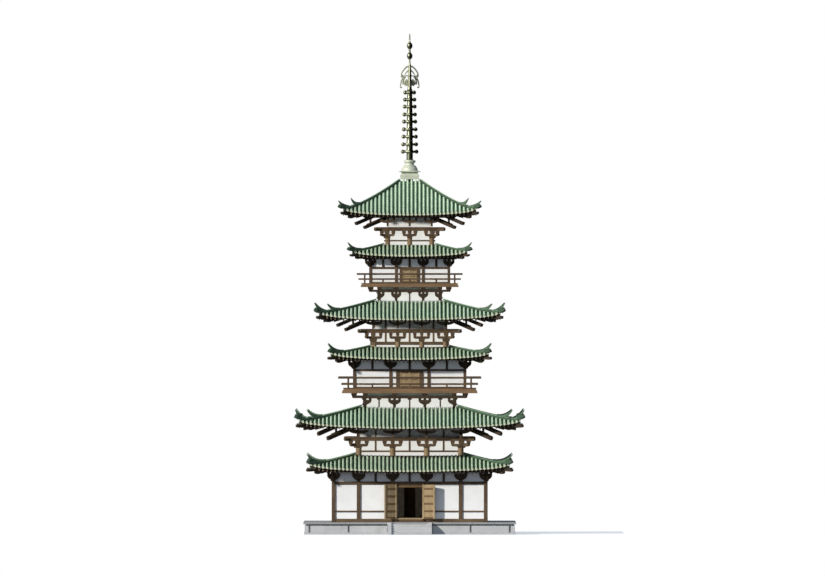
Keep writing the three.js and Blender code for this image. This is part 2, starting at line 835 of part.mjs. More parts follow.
function addBalcony(level) {
  const { wall, face, lines, sill, bracket, purlin, deck, rails } = BALCONIES[level];
  const beam = bracket[1];
  const middle = (purlin.v[0] + purlin.v[1]) / 2;
  const outriggers = mirrored([lines[0]]).map((x) => frontBar([x - 75, x + 75], [wall, middle], purlin.z));
  const cornerArm = [[wall, purlin.z[0]], [middle, purlin.z[0]], [middle, purlin.z[1]], [wall, purlin.z[1]]];
  const frame = join(
    squareRing(sill.v, sill.z),
    onFourSides([balconyBoard(BALCONIES[level])]),
    squareRing([wall - 70, face + 100], [beam, deck.z[0]]),
    onFourSides([...outriggers, upright(cornerArm, TO_CORNER, 150)]),
    squareRing(purlin.v, [purlin.z[0], deck.z[0]]),
  );
  addPiece(`balcony_${level}_frame`, frame, FINISH.wood);
  const slab = squareRing([2 * wall - face, face], [sill.z[1], beam]);
  addPiece(`balcony_${level}_walls`, join(slab), FINISH.plaster);

  const floor = join(box(sameBothWays(deck.half), sameBothWays(deck.half), deck.z));
  const hole = join(roundPost(deck.hole, [deck.z[0] - 10, deck.z[1] + 10]));
  addPiece(`balcony_${level}_deck`, floor.subtract(hole), FINISH.paleWood);

  const [, middleBar, topBar] = rails.bars;
  const railV = [rails.line - rails.half, rails.line + rails.half];
  const bars = rails.bars.map(([end, low, high]) => frontBar(sameBothWays(end), railV, [low, high]));
  const balustrade = join(
    onFourSides(bars),
    posts([rails.line], rails.half, railV, [deck.z[1], topBar[2] + 40]),
    posts(rails.struts, rails.half, railV, [deck.z[1], middleBar[1] + 10]),
  );
  addPiece(`balcony_${level}_balustrade`, balustrade, FINISH.wood);
}

// One side of a gallery frame in one plane: the board of posts and beams, before its bays are cut.
function galleryBoard(gallery) {
  const { lines, face, wall, post, floor, head, bracket, struts } = gallery;
  const end = lines.at(-1) + post;
  const points = [[-end, floor], [end, floor], [end, head[1]]];
  for (const x of [...struts].reverse()) {
    points.push([x + 65, head[1]], [x + 65, bracket[2]], [x - 65, bracket[2]], [x - 65, head[1]]);
  }
  points.push([-end, head[1]]);
  const depth = wall + post - face;
  return upright(points, ALONG_FRONT, depth).translate(0, -face - depth / 2, 0);
}

function galleryBays(gallery) {
  const { lines, face, wall, post, sill, head, door } = gallery;
  const [inner, outer] = lines;
  const through = [face - 10, wall + post + 10];
  const bays = [frontBar(sameBothWays(door.half), through, [sill, door.lintel])];
  for (const sign of [-1, 1]) {
    const between = (from, to) => (sign > 0 ? [from, to] : [-to, -from]);
    bays.push(frontBar(between(inner + post, outer - post), through, [sill, head[0]]));
    bays.push(frontBar(between(door.frame, inner - post), through, [sill, head[0]]));
  }
  return bays;
}

function addUpperGallery(level) {
  const gallery = GALLERIES[level];
  const { wall, face, floor, sill, bracket, door } = gallery;
  const boards = join(onFourSides([galleryBoard(gallery)]));
  const bays = join(onFourSides(galleryBays(gallery)));
  const leaves = frontBar(sameBothWays(door.half + 5), [face, face + 35], [sill - 5, door.lintel + 5]);
  const frame = join(boards.subtract(bays), onFourSides([leaves]));
  addPiece(`gallery_${level}_frame`, frame, FINISH.wood);
  const slab = squareRing([2 * wall - face, face], [floor, bracket[2]]);
  addPiece(`gallery_${level}_walls`, join(slab), FINISH.plaster);
}

// Central pillar and finial

function addCentralPillar() {
  const { base, foot, head, top } = PILLAR;
  addPiece("central_pillar", join(turned([[0, base], [foot, base], [head, top], [0, top]])), FINISH.wood);
}

function addFinial() {
  const { basin, plate, bowl, shaftFoot, shaft, neck, ringHeights, ringRadius, rim } = FINIAL;
  const { rod, balls, tip, flame } = FINIAL;
  const square = (half, z) => box(sameBothWays(half), sameBothWays(half), z);
  addPiece(
    "finial_basin",
    join(square(basin.half, [PILLAR.top, basin.top]), square(plate.half, [basin.top, plate.top])),
    FINISH.bronze,
  );
  addPiece("finial_bowl", join(turned(bowl)), FINISH.bronze);

  const wheels = ringHeights.flatMap((height, i) => {
    const share = i / (ringHeights.length - 1);
    const radius = ringRadius[0] + share * (ringRadius[1] - ringRadius[0]);
    const hub = shaft[0] + share * (shaft[1] - shaft[0]);
    return [
      [hub, height - rim / 4],
      [radius, height - rim / 2],
      [radius, height + rim / 2],
      [hub, height + rim / 4],
    ];
  });
  const spire = [
    [0, shaftFoot],
    [shaft[0], shaftFoot],
    ...wheels,
    [shaft[1], neck],
    [rod, neck + 200],
    [rod, tip - 700],
    [0, tip],
  ];
  const beads = balls.map(([height, radius]) =>
    new THREE.SphereGeometry(radius, 8, 5).applyMatrix4(STAND_UP).translate(0, 0, height),
  );
  addPiece("finial_shaft", join(turned(spire, SPIRE_SIDES), beads), FINISH.bronze);

  const [low, high] = flame.z;
  const half = flame.half;
  const at = (share) => low + share * (high - low);
  const fin = shapeOf([
    [rod + 10, at(0)],
    [0.5 * half, at(0.05)],
    [0.78 * half, at(0.18)],
    [0.7 * half, at(0.34)],
    [half, at(0.5)],
    [0.86 * half, at(0.66)],
    [0.6 * half, at(0.7)],
    [0.66 * half, at(0.86)],
    [0.3 * half, at(1)],
    [rod + 10, at(0.9)],
  ]);
  fin.holes.push(shapeOf([[190, at(0.12)], [380, at(0.22)], [330, at(0.36)], [190, at(0.3)]]));
  fin.holes.push(shapeOf([[190, at(0.42)], [400, at(0.44)], [430, at(0.58)], [190, at(0.62)]]));
  const blade = new THREE.ExtrudeGeometry(fin, { depth: flame.thick, bevelEnabled: false })
    .translate(0, 0, -flame.thick / 2)
    .applyMatrix4(STAND_UP);
  const collar = [at(0), at(0.9)];
  const bore = join(roundPost(rod + CLEAR, [low - 10, high + 10], SPIRE_SIDES));
  const crest = join(roundPost(flame.collar, collar, ROUND), onFourSides([blade])).subtract(bore);
  addPiece("finial_flame", crest, FINISH.bronze);
}

addPodium();
addStairs();
addPorch();
addDoorLeaf("front_door_left", -1);
addDoorLeaf("front_door_right", 1);
addSkirtEaves("gallery_1_eaves", ROOFS[1], PORCH);
addTiles(1);
addCoreFrame(1);
addCoreEaves(1, ROOFS[2]);
addTiles(2);
for (const level of [2, 3]) {
  const skirt = 2 * level - 1;
  addBalcony(level);
  addUpperGallery(level);
  addSkirtEaves(`gallery_${level}_eaves`, ROOFS[skirt], GALLERIES[level]);
  addTiles(skirt);
  addCoreFrame(level);
  addCoreEaves(level, ROOFS[skirt + 1]);
  addTiles(skirt + 1);
}
addCentralPillar();
addFinial();

export default pagoda;
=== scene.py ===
import math
import random
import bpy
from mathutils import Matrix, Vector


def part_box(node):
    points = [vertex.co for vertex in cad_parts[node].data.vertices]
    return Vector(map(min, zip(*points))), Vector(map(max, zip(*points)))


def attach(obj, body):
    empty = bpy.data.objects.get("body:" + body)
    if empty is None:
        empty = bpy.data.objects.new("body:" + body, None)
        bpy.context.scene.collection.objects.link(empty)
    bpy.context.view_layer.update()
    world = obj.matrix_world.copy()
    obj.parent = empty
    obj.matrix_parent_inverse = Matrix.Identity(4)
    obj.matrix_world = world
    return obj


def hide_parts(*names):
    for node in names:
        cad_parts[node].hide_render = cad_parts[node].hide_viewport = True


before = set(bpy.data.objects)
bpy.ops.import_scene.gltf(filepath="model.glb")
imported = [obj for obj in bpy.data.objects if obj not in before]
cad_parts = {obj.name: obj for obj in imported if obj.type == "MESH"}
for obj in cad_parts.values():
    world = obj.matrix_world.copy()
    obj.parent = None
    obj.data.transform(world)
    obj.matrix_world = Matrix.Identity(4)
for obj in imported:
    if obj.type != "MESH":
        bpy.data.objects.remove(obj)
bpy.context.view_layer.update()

from types import SimpleNamespace as Sizes

import bmesh
import bpy
from mathutils import Matrix, Vector

grain = random.Random(11)
scratch = bpy.data.meshes.new("scratch")


# Podium: three courses of grey dressed stone round a rammed earth core. The kerb and the
# coping are long stones laid end to end, the face between them is tall slabs with open
# joints, and the top is paved. The stones are sawn and rubbed, so they look matt and even.
def srgb(code):
    """A hex colour as the linear colour that a shader takes."""
    channels = [int(code[i : i + 2], 16) / 255 for i in (0, 2, 4)]
    return (*[c / 12.92 if c <= 0.04045 else ((c + 0.055) / 1.055) ** 2.4 for c in channels], 1.0)


def feed(node, inputs):
    """Sets a node's inputs. Each is a value, or a socket or a node that is linked to it."""
    for key, value in inputs.items():
        if isinstance(value, bpy.types.Node):
            value = next(socket for socket in value.outputs if socket.enabled)
        if isinstance(value, bpy.types.NodeSocket):
            node.id_data.links.new(value, node.inputs[key])
        else:
            node.inputs[key].default_value = value


def add(material, kind, inputs, **settings):
    """Adds a node with its settings and links."""
    node = material.node_tree.nodes.new(f"ShaderNode{kind}")
    for name, value in settings.items():
        setattr(node, name, value)
    feed(node, inputs)
    return node


def new_material(name):
    """A material, its shader, and the sockets of its texture coordinates."""
    material = bpy.data.materials.new(name)
    material.use_nodes = True
    return material, material.node_tree.nodes["Principled BSDF"], add(material, "TexCoord", {}).outputs


def dressed_stone(name, dark, pale, tint_colour):
    """Rubbed grey stone: cloudy over a metre or so, tinted stone by stone, and gritty."""
    material, shader, place = new_material(name)
    cloud = add(material, "TexNoise", {"Vector": place["Object"], "Scale": 1.1, "Detail": 5})
    stone = add(material, "TexNoise", {"Vector": place["UV"], "Scale": 0.12, "Detail": 0})
    grit = add(material, "TexNoise", {"Vector": place["Object"], "Scale": 28.0, "Detail": 4})
    soft = add(material, "MapRange", {"Value": cloud, "From Min": 0.3, "From Max": 0.7})
    body = add(material, "Mix", {0: soft, 6: srgb(dark), 7: srgb(pale)}, data_type="RGBA")
    tint = add(material, "MapRange", {"Value": stone, "From Min": 0.3, "From Max": 0.7})
    tinted = add(material, "Mix", {0: tint, 6: srgb(tint_colour), 7: body}, data_type="RGBA")
    bump = add(material, "Bump", {"Height": grit, "Strength": 0.25, "Distance": 0.006})
    feed(shader, {"Base Color": tinted, "Normal": bump, "Roughness": 0.88, "Specular IOR Level": 0.3})
    return material


def into(bm, part):
    """Puts a small mesh into a larger one, with its faces in the same order on every run."""
    askew = Vector((0.613, 0.727, 0.309))
    part.faces.sort(key=lambda face: face.calc_center_median().dot(askew))
    part.to_mesh(scratch)
    part.free()
    bm.from_mesh(scratch)


def move(bm, place):
    bmesh.ops.transform(bm, matrix=place, verts=bm.verts)


def everything(bm):
    return bm.verts[:] + bm.edges[:] + bm.faces[:]


def verts_of(geom):
    return [e for e in geom if isinstance(e, bmesh.types.BMVert)]


def arrises(part, bevel):
    """Takes the arrises off a squared stone or timber."""
    edges = part.edges[:]
    bmesh.ops.bevel(part, geom=edges, offset=bevel, affect="EDGES", segments=1, profile=0.5, material=-1)


def run_grain(part, axis, finish=0):
    """Gives a piece its finish, and a UV map in metres with U along its grain, at a place of its own."""
    part.normal_update()
    uv = part.loops.layers.uv.verify()
    shift = Vector((grain.uniform(0, 30), grain.uniform(0, 30)))
    for face in part.faces:
        face.material_index = finish
        flat = max(range(3), key=lambda a: abs(face.normal[a]))
        first = axis if flat != axis else (axis + 1) % 3
        second = 3 - first - flat
        for loop in face.loops:
            loop[uv].uv = Vector((loop.vert.co[first], loop.vert.co[second])) + shift


def span(middle, half):
    return middle - half, middle + half


def block(bm, x, v, z, bevel=0.012, finish=0):
    """A squared stone or timber between two x, two distances out to the front and two heights."""
    low = Vector((x[0], -v[1], z[0]))
    high = Vector((x[1], -v[0], z[1]))
    size = high - low
    part = bmesh.new()
    bmesh.ops.create_cube(part, size=1.0, matrix=Matrix.LocRotScale((high + low) / 2, None, size))
    if bevel:
        arrises(part, bevel)
    run_grain(part, max(range(3), key=lambda a: size[a]), finish)
    into(bm, part)


def on_four_sides(bm, quarters=(1, 2, 3)):
    """Repeats what stands on the front on the other sides."""
    front = everything(bm)
    for quarter in quarters:
        copy = bmesh.ops.duplicate(bm, geom=front)["geom"]
        turn = Matrix.Rotation(quarter * math.pi / 2, 3, "Z")
        bmesh.ops.rotate(bm, matrix=turn, verts=verts_of(copy))


def show(name, data):
    """Puts a mesh, a light or a camera into the scene."""
    made = bpy.data.objects.new(name, data)
    bpy.context.collection.objects.link(made)
    return made


def piece(name, bm, materials, replaces, body="pagoda"):
    """Ends a piece: its mesh, its finish, the body that it moves with and the nodes it stands for."""
    mesh = bpy.data.meshes.new(name)
    bm.to_mesh(mesh)
    bm.free()
    for material in materials:
        mesh.materials.append(material)
    made = show(name, mesh)
    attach(made, body)
    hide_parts(*replaces)


def course(bm, half, depth, z, joints, gap, bevel=0.012):
    """One side of a course, from the left corner to where the next side's stones begin."""
    for left, right in zip(joints, joints[1:]):
        block(bm, (left + gap / 2, right - gap / 2), (half - depth, half), z, bevel)


stone = dressed_stone("dressed_grey_stone", "b0b0af", "cacac9", "bdbebf")
trodden_stone = dressed_stone("trodden_grey_stone", "929493", "a3a4a4", "9a9c9d")
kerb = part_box("podium_footing")[1]
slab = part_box("podium_wall")[1]
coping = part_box("podium_coping")[1]
thin_joint = 0.012

kerb_depth = 0.5
kerb_joints = [-kerb.x, *[-5.9 + 1.475 * i for i in range(9)], kerb.x - kerb_depth]
kerb_stones = bmesh.new()
course(kerb_stones, kerb.x, kerb_depth, (0, kerb.z), kerb_joints, thin_joint)
on_four_sides(kerb_stones)
core = span(0, kerb.x - 0.45)
block(kerb_stones, core, core, (0, kerb.z - 0.01))
piece("podium_kerb", kerb_stones, [stone], ["podium_footing"])

# The slabs stand between square corner posts, about 2.7 m apart, with joints 130 mm wide. A
# recess under the coping, 100 mm high, draws a dark line along them.
wide_joint = 0.13
recess = 0.1
post_width = 0.35
slab_z = (kerb.z, slab.z - recess)
slab_joints = [-slab.x + post_width, -4.25, -1.52, 1.52, 4.25, slab.x - post_width]
wall_stones = bmesh.new()
course(wall_stones, slab.x, 0.3, slab_z, slab_joints, wide_joint)
corner_post = (slab.x - post_width + wide_joint / 2, slab.x)
block(wall_stones, corner_post, corner_post, slab_z)
on_four_sides(wall_stones)
core = span(0, slab.x - 0.2)
block(wall_stones, core, core, (slab_z[0] - 0.01, slab.z))
piece("podium_slabs", wall_stones, [stone], ["podium_wall"])

# The coping stones oversail the slabs, and square pavers fill the field inside them, 2 mm lower.
coping_depth = 0.62
field = coping.x - coping_depth
coping_joints = [-coping.x, *[-5.94 + 1.48 * i for i in range(9)], field]
coping_stones = bmesh.new()
course(coping_stones, coping.x, coping_depth, (slab.z, coping.z), coping_joints, thin_joint, 0.015)
on_four_sides(coping_stones)
pavers = 15
paver = 2 * field / pavers
edges = [span(-field + (i + 0.5) * paver, (paver - thin_joint) / 2) for i in range(pavers)]
for x in edges:
    for v in edges[::-1]:
        block(coping_stones, x, v, (slab.z, coping.z - 0.002), 0.006)
piece("podium_coping_and_paving", coping_stones, [trodden_stone], ["podium_coping"])


# Stairs: solid stone steps between sloping cheek stones, at the front and the back. Each
# step is one long stone bedded on the one below, with its nosing rounded off.
def prism(bm, outline, x, bevel, finish=0, place=None):
    """A slab whose side view is an outline of (distance out, height) points, between two x."""
    part = bmesh.new()
    side = part.faces.new([part.verts.new((x[0], -v, z)) for v, z in outline])
    far = bmesh.ops.extrude_face_region(part, geom=[side])["geom"]
    bmesh.ops.translate(part, vec=(x[1] - x[0], 0, 0), verts=verts_of(far))
    bmesh.ops.recalc_face_normals(part, faces=part.faces)
    arrises(part, bevel)
    run_grain(part, 1, finish)
    if place:
        move(part, place)
    into(bm, part)


steps = 4
tread = 0.3
bedding = 0.05
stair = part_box("front_steps")[1]
rise = stair.z / steps
stones = bmesh.new()
for i in range(steps):
    top = stair.z - i * rise
    reach = (coping.x - bedding, coping.x + (i + 1) * tread)
    block(stones, (-stair.x, stair.x), reach, (top - rise, top), 0.014)
on_four_sides(stones, (2,))
piece("stair_steps", stones, [stone], ["front_steps", "back_steps"])

cheek_low, cheek_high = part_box("front_cheek_right")
toe = 0.2
level_top = 0.14
cheek_side = [(kerb.x, 0), (-cheek_low.y, 0), (-cheek_low.y, toe), (coping.x + level_top, cheek_high.z)]
cheek_side += [(coping.x, cheek_high.z), (coping.x, slab.z), (slab.x, slab.z)]
cheek_side += [(slab.x, kerb.z), (kerb.x, kerb.z)]
stones = bmesh.new()
for hand in (-1, 1):
    prism(stones, cheek_side, sorted((hand * cheek_low.x, hand * cheek_high.x)), 0.01)
on_four_sides(stones, (2,))
cheeks = [f"{side}_cheek_{hand}" for side in ("front", "back") for hand in ("left", "right")]
piece("stair_cheeks", stones, [stone], cheeks)


# Ground gallery: square posts on a sill, tied by a head beam, with a thin rail low down, all
# of cypress that has weathered dark. The front has the doorway, and the other three sides have
# the same doors, shut. The members are planed, then housed and pegged into each other.
def sawn_timber(name, pale, mid, dark):
    """Sawn wood with its grain along U: streaks a few millimetres wide, and a tint for each piece."""
    material, shader, place = new_material(name)
    along = add(material, "Mapping", {"Vector": place["UV"], "Scale": (1.2, 30.0, 1.0)})
    streaks = add(material, "TexNoise", {"Vector": along, "Scale": 1.0, "Detail": 6})
    cloud = add(material, "TexNoise", {"Vector": place["UV"], "Scale": 0.45, "Detail": 3})
    share = add(material, "MapRange", {"Value": streaks, "From Min": 0.3, "From Max": 0.7})
    wood = add(material, "Mix", {0: share, 6: srgb(dark), 7: srgb(mid)}, data_type="RGBA")
    fade = add(material, "MapRange", {"Value": cloud, "From Min": 0.4, "From Max": 0.75})
    weathered = add(material, "Mix", {0: fade, 6: wood, 7: srgb(pale)}, data_type="RGBA")
    bump = add(material, "Bump", {"Height": streaks, "Strength": 0.3, "Distance": 0.004})
    feed(shader, {"Base Color": weathered, "Normal": bump, "Roughness": 0.78, "Specular IOR Level": 0.3})
    return material


def both_hands(places):
    """The places along a side, given for its right half."""
    return sorted({x * side for x in places for side in (-1, 1)})


def boarded_leaf(bm, x, z, v, ledges, proud=0.028):
    """A door leaf that faces the front: boards behind, and stiles and ledges at heights before them."""
    stile = 0.11 * (x[1] - x[0]) / 0.9
    boards = 4
    width = (x[1] - x[0]) / boards
    for i in range(boards):
        left = x[0] + i * width
        block(bm, (left + 0.002, left + width - 0.002), (v - 0.045, v), z, 0.006, 1)
    for left in (x[0], x[1] - stile):
        block(bm, (left, left + stile), (v - 0.01, v + proud - 0.004), z, 0.008, 1)
    rail = 0.052 * (z[1] - z[0])
    for low in ledges:
        # The ledges take the darker third finish, which paints the shade along them.
        block(bm, (x[0] + stile, x[1] - stile), (v - 0.01, v + proud), (low, low + rail), 0.01, 2)


old_cypress = sawn_timber("weathered_dark_cypress", "6e5a43", "5c4a37", "43352a")
door_cypress = sawn_timber("sun_bleached_cypress", "b29d79", "a28c69", "8b7555")
# Painted shade: a darker copy of the door cypress for the ledges and the lower board over the doorway.
shade_dark_ledge_cypress = sawn_timber("painted_shade_cypress_ledges", "7a6241", "6d5636", "5d482c")
joinery = [old_cypress, door_cypress, shade_dark_ledge_cypress]
wall = 5.31
post = 0.135
inner_v = wall - 0.045
floor_z, sill_top, head_low, post_top = 0.84, 1.08, 3.465, 3.71
doorway = 0.88
door_frame = 1.06
pin_x, pin_v = 0.93, 5.495

# Posts, corner posts with their heads, sill, head beam and thin rail.
side = bmesh.new()
for x in both_hands((1.19, 3.56)):
    block(side, span(x, post), (wall - 0.01, wall + post), (sill_top, post_top), 0.014)
block(side, span(wall, post), span(wall, post), (floor_z, post_top), 0.014)
corner = (wall - 0.1, wall + 0.08)
block(side, corner, corner, (3.67, 4.32), 0.01)
block(side, span(0, wall - post), (inner_v, wall + 0.125), (floor_z, sill_top), 0.014)
block(side, span(0, wall - post), (wall - 0.01, wall + 0.115), (head_low, 3.675), 0.014)
for ends in ((1.325, 3.425), (3.695, 5.175)):
    for hand in (-1, 1):
        block(side, sorted((hand * ends[0], hand * ends[1])), (wall, wall + 0.1), (1.54, 1.65), 0.01)
# The door's frame: jambs, a threshold with a board before it, and the two boards of its head.
for left in (-door_frame, doorway):
    block(side, (left, left + door_frame - doorway), (inner_v, wall + 0.13), (sill_top, 3.47))
block(side, span(0, door_frame), (inner_v, wall + 0.125), (1.06, 1.14), finish=1)
block(side, span(0, 1.83), (wall + 0.1, wall + 0.16), (1.03, 1.078), 0.01, 1)
# The lower board of the head takes the darker ledge finish as painted shade.
block(side, span(0, doorway), (inner_v, wall + 0.12), (3.265, 3.39), 0.01, 2)
block(side, span(0, doorway), (inner_v, wall + 0.1), (3.39, 3.47), 0.01)
on_four_sides(side)
# The shut doors of the other three sides, and the blocks that the front doors' pins turn in.
shut = bmesh.new()
for left in (-doorway, 0.003):
    boarded_leaf(shut, (left, left + 0.877), (1.15, 3.25), wall + 0.06, [1.15, 1.61, 2.08, 2.54, 3.0])
front = everything(shut)
on_four_sides(shut)
bmesh.ops.delete(shut, geom=verts_of(front), context="VERTS")
into(side, shut)
for x in (-pin_x, pin_x):
    for z in ((3.47, 3.6), (0.95, 1.075)):
        block(side, span(x, 0.065), span(pin_v, 0.065), z, 0.014)
frames = [f"gallery_1_{name}_frame" for name in ("front", "right", "back", "left")]
piece("gallery_1_timbers", side, joinery, frames)


# Front doors: two leaves of upright boards, held by stiles and five ledges. Wooden pins at the
# top and foot of each leaf turn in blocks on the frame, and the leaves stand folded back.
def cone(bm, place, radii, length, segments, closed=True):
    """A round bar between the radii of its foot and its head, about the middle of its length."""
    sizes = {"radius1": radii[0], "radius2": radii[1], "depth": length}
    bmesh.ops.create_cone(bm, segments=segments, cap_ends=closed, matrix=place, **sizes)


def smooth_sides(part, axis):
    """Shades the sides along an axis round, and leaves the ends flat with sharp rims."""
    for face in part.faces:
        face.smooth = abs(face.normal[axis]) < 0.9
    for edge in part.edges:
        edge.smooth = all(face.smooth for face in edge.link_faces)


def round_timber(bm, place, radii, length, segments, axis, finish=0):
    """A timber turned round, from its foot to its head along an axis."""
    part = bmesh.new()
    cone(part, place, radii, length, segments)
    run_grain(part, axis, finish)
    smooth_sides(part, axis)
    into(bm, part)


def swung_leaf(hand):
    """One leaf, drawn shut about its pin line and swung to where it stands, 155 degrees open."""
    leaf = bmesh.new()
    boarded_leaf(leaf, (-0.028, 0.922), (1.087, 3.46), 0.015, [1.09, 1.555, 2.076, 2.6, 3.12], 0.04)
    for low, high in ((0.99, 1.1), (3.45, 3.555)):
        pin = bmesh.new()
        cone(pin, Matrix.Translation((0, 0, (low + high) / 2)), (0.022, 0.022), high - low, 16)
        run_grain(pin, 2, 1)
        into(leaf, pin)
    open_angle = math.radians(155)
    move(leaf, Matrix.Translation((pin_x, -pin_v, 0)) @ Matrix.Rotation(open_angle + math.pi, 4, "Z"))
    if hand < 0:
        bmesh.ops.scale(leaf, vec=(-1, 1, 1), verts=leaf.verts)
        bmesh.ops.reverse_faces(leaf, faces=leaf.faces)
    return leaf


for name, hand in (("left", -1), ("right", 1)):
    node = f"front_door_{name}"
    piece(f"{node}_leaf", swung_leaf(hand), joinery, [node], f"door_{name}")


# Walls: wattle panels between the timbers, coated with clay and a white lime skim. The lime is
# troweled smooth, so it is matt, with faint clouds and shallow trowel marks.
def lime_plaster():
    material, shader, place = new_material("white_lime_plaster")
    cloud = add(material, "TexNoise", {"Vector": place["Object"], "Scale": 1.6, "Detail": 5})
    trowel = add(material, "TexNoise", {"Vector": place["Object"], "Scale": 11.0, "Detail": 5})
    colour = add(material, "Mix", {0: cloud, 6: srgb("e8e8e6"), 7: srgb("fbfbfa")}, data_type="RGBA")
    bump = add(material, "Bump", {"Height": trowel, "Strength": 0.2, "Distance": 0.006})
    feed(shader, {"Base Color": colour, "Normal": bump, "Roughness": 0.95, "Specular IOR Level": 0.2})
    return material


plaster = lime_plaster()
plastered = ["front_wall_left", "front_wall_right", "front_wall_over_door"]
plastered += [f"{side}_wall" for side in ("back", "left", "right")]
plastered += [f"core_{level}_walls" for level in (1, 2, 3)]
plastered += [f"{part}_{level}_walls" for part in ("gallery", "balcony") for level in (2, 3)]
for name in plastered:
    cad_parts[name].material_slots[0].material = plaster


# Core pillars: round pillars, half sunk in the plaster where the core shows between two roofs,
# with a rail let in between them. Inside, they stand on the floor and carry a ring of ledgers.
def table(heads, *rows):
    """Sizes under their names, level by level."""
    return {level: Sizes(**dict(zip(heads.split(), sizes))) for level, *sizes in rows}


cores = table(
    # The rail that is let in has its heights and half length, and the ledgers their two sides.
    "line posts radius z rail rail_end ledger_v ledger_z",
    (1, 3.56, (1.19, 3.56), 0.215, (0.84, 6.03), (5.715, 5.84), 3.56, (3.33, 3.8), (4.85, 5.48)),
    (2, 2.5, (0.84, 2.5), 0.19, (10.15, 13.53), (13.2, 13.43), 2.76, (2.31, 2.7), (12.56, 13.06)),
    (3, 1.54, (0, 1.54), 0.185, (17.49, 20.72), (20.44, 20.545), 1.8, (1.35, 1.8), (19.64, 20.2)),
)
pillar_cypress = sawn_timber("hand_planed_cypress", "a58f72", "8d7557", "6f5a42")
for level, core in cores.items():
    low, high = core.z
    side = bmesh.new()
    for x in both_hands(core.posts):
        if x > -core.line:
            stand = Matrix.Translation((x, -core.line, (low + high) / 2))
            round_timber(side, stand, (core.radius, 0.96 * core.radius), high - low, 28, 2, 1)
    block(side, span(0, core.rail_end), (core.line, core.line + 0.11), core.rail)
    block(side, (-core.ledger_v[1], core.ledger_v[0]), core.ledger_v, core.ledger_z, 0.02)
    on_four_sides(side)
    piece(f"core_{level}_pillars", side, [old_cypress, pillar_cypress], [f"core_{level}_frame"])


# Eaves: two tiers of rafters under each roof, boarded over, with a board along the tips of each
# tier. The base rafters slope down from the wall, and the flying rafters ride on their tips
# and carry the tiles out. All of it is sawn cypress, coloured darker than the posts as painted shade.
roofs = table(
    # How far out the tiles start and end, their heights there, how far the corners turn up, how
    # much the slope sags, and how far out the wall stands that the rafters come from.
    "inner outer top eave lift sag wall",
    (1, 3.8, 6.95, 5.5, 4.535, 0.46, 1.1, 5.2),
    (2, 3.3, 7.71, 8.87, 7.55, 0.5, 1.1, 3.5),
    (3, 2.7, 5.5, 13.08, 12.35, 0.4, 1.1, 3.8),
    (4, 2.28, 6.31, 16.31, 15.11, 0.46, 1.1, 2.45),
    (5, 1.8, 4.0, 20.22, 19.55, 0.32, 1.1, 2.7),
    (6, 0.62, 4.62, 24.8, 22.42, 0.42, 1.25, 1.5),
)
# Where the base rafters end, the height of their undersides there, and the slopes of both tiers.
rafters = table(
    "tip low slope flying",
    (1, 6.2, 4.18, 0.31, 0.235),
    (2, 6.6, 7.24, 0.29, 0.16),
    (3, 4.85, 11.99, 0.31, 0.235),
    (4, 5.3, 14.79, 0.29, 0.165),
    (5, 3.45, 19.2, 0.31, 0.28),
    (6, 3.75, 22.06, 0.29, 0.18),
)
# The ends of the two beams over each hip: the distance out, the underside and the top.
hip_beams = table(
    "start heel nose",
    (1, 5.31, (6.55, 4.2, 4.42), (7.17, 4.375, 4.56)),
    (2, 5.1, (7.05, 7.27, 7.46), (7.89, 7.46, 7.67)),
    (3, 3.86, (5.06, 11.95, 12.2), (5.69, 12.18, 12.36)),
    (4, 3.93, (5.8, 14.79, 14.99), (6.48, 15.02, 15.23)),
    (5, 2.74, (3.76, 19.21, 19.4), (4.15, 19.39, 19.55)),
    (6, 2.74, (4.26, 22.06, 22.27), (4.78, 22.33, 22.52)),
)
rafter_pitch = 0.281
rafter_half = 0.045
rafter_deep = 0.11
board_thick = 0.025
tile_overhang = 0.28
flying_drop = 0.33
flying_tail = 0.5
along_hip = Matrix(((math.sqrt(0.5), -1, 0, 0), (math.sqrt(0.5), 1, 0, 0), (0, 0, 1, 0), (0, 0, 0, 1)))


def corner_lift(roof, v, x):
    """How far a roof turns up, v out from the middle and x along: a long curve and a quick sweep."""
    share = min(abs(x), v) / roof.outer
    return roof.lift * (0.6 * share**2 + 0.4 * share**12)


def rafter_lift(roof, v, x):
    """The same for what lies under the tiles, which keeps to the straight beams near the wall."""
    return corner_lift(roof, v, x) * max(0.0, v - roof.wall) / (roof.outer - roof.wall)


def cut(bm, point, normal, clear=False):
    bmesh.ops.bisect_plane(bm, geom=everything(bm), plane_co=point, plane_no=normal, clear_outer=clear)


def cut_at_hips(bm):
    """Trims what lies along the front to the part between the two front hips."""
    for side in (-1, 1):
        cut(bm, (0, 0, 0), (side, 1, 0), True)


def rafter_row(bm, roof, v, low, tip_finish=0):
    """A row of rafters between two distances out, with their undersides at a height for each end."""
    count = math.ceil(v[1] / rafter_pitch)
    for i in range(-count, count):
        x = (i + 0.5) * rafter_pitch
        if abs(x) < v[1] - 0.05:
            part = bmesh.new()
            block(part, span(x, rafter_half), (max(v[0], abs(x) - 0.1), v[1]), (0, rafter_deep), 0.008)
            for face in part.faces:
                if face.normal.y < -0.9:
                    face.material_index = tip_finish
            for vert in part.verts:
                vert.co.z += low(-vert.co.y) + rafter_lift(roof, -vert.co.y, x)
            into(bm, part)


def board_sheet(bm, roof, v, low, thick):
    """A sheet of boards that follows the roof from hip to hip, such as roof boards or an eave board."""
    cuts = 30
    part = bmesh.new()
    block(part, (-v[1], v[1]), v, (0, thick), 0)
    for i in range(1, cuts):
        cut(part, (-v[1] + 2 * v[1] * i / cuts, 0, 0), (1, 0, 0))
    for vert in part.verts:
        vert.co.z += low(-vert.co.y) + rafter_lift(roof, -vert.co.y, vert.co.x)
    into(bm, part)


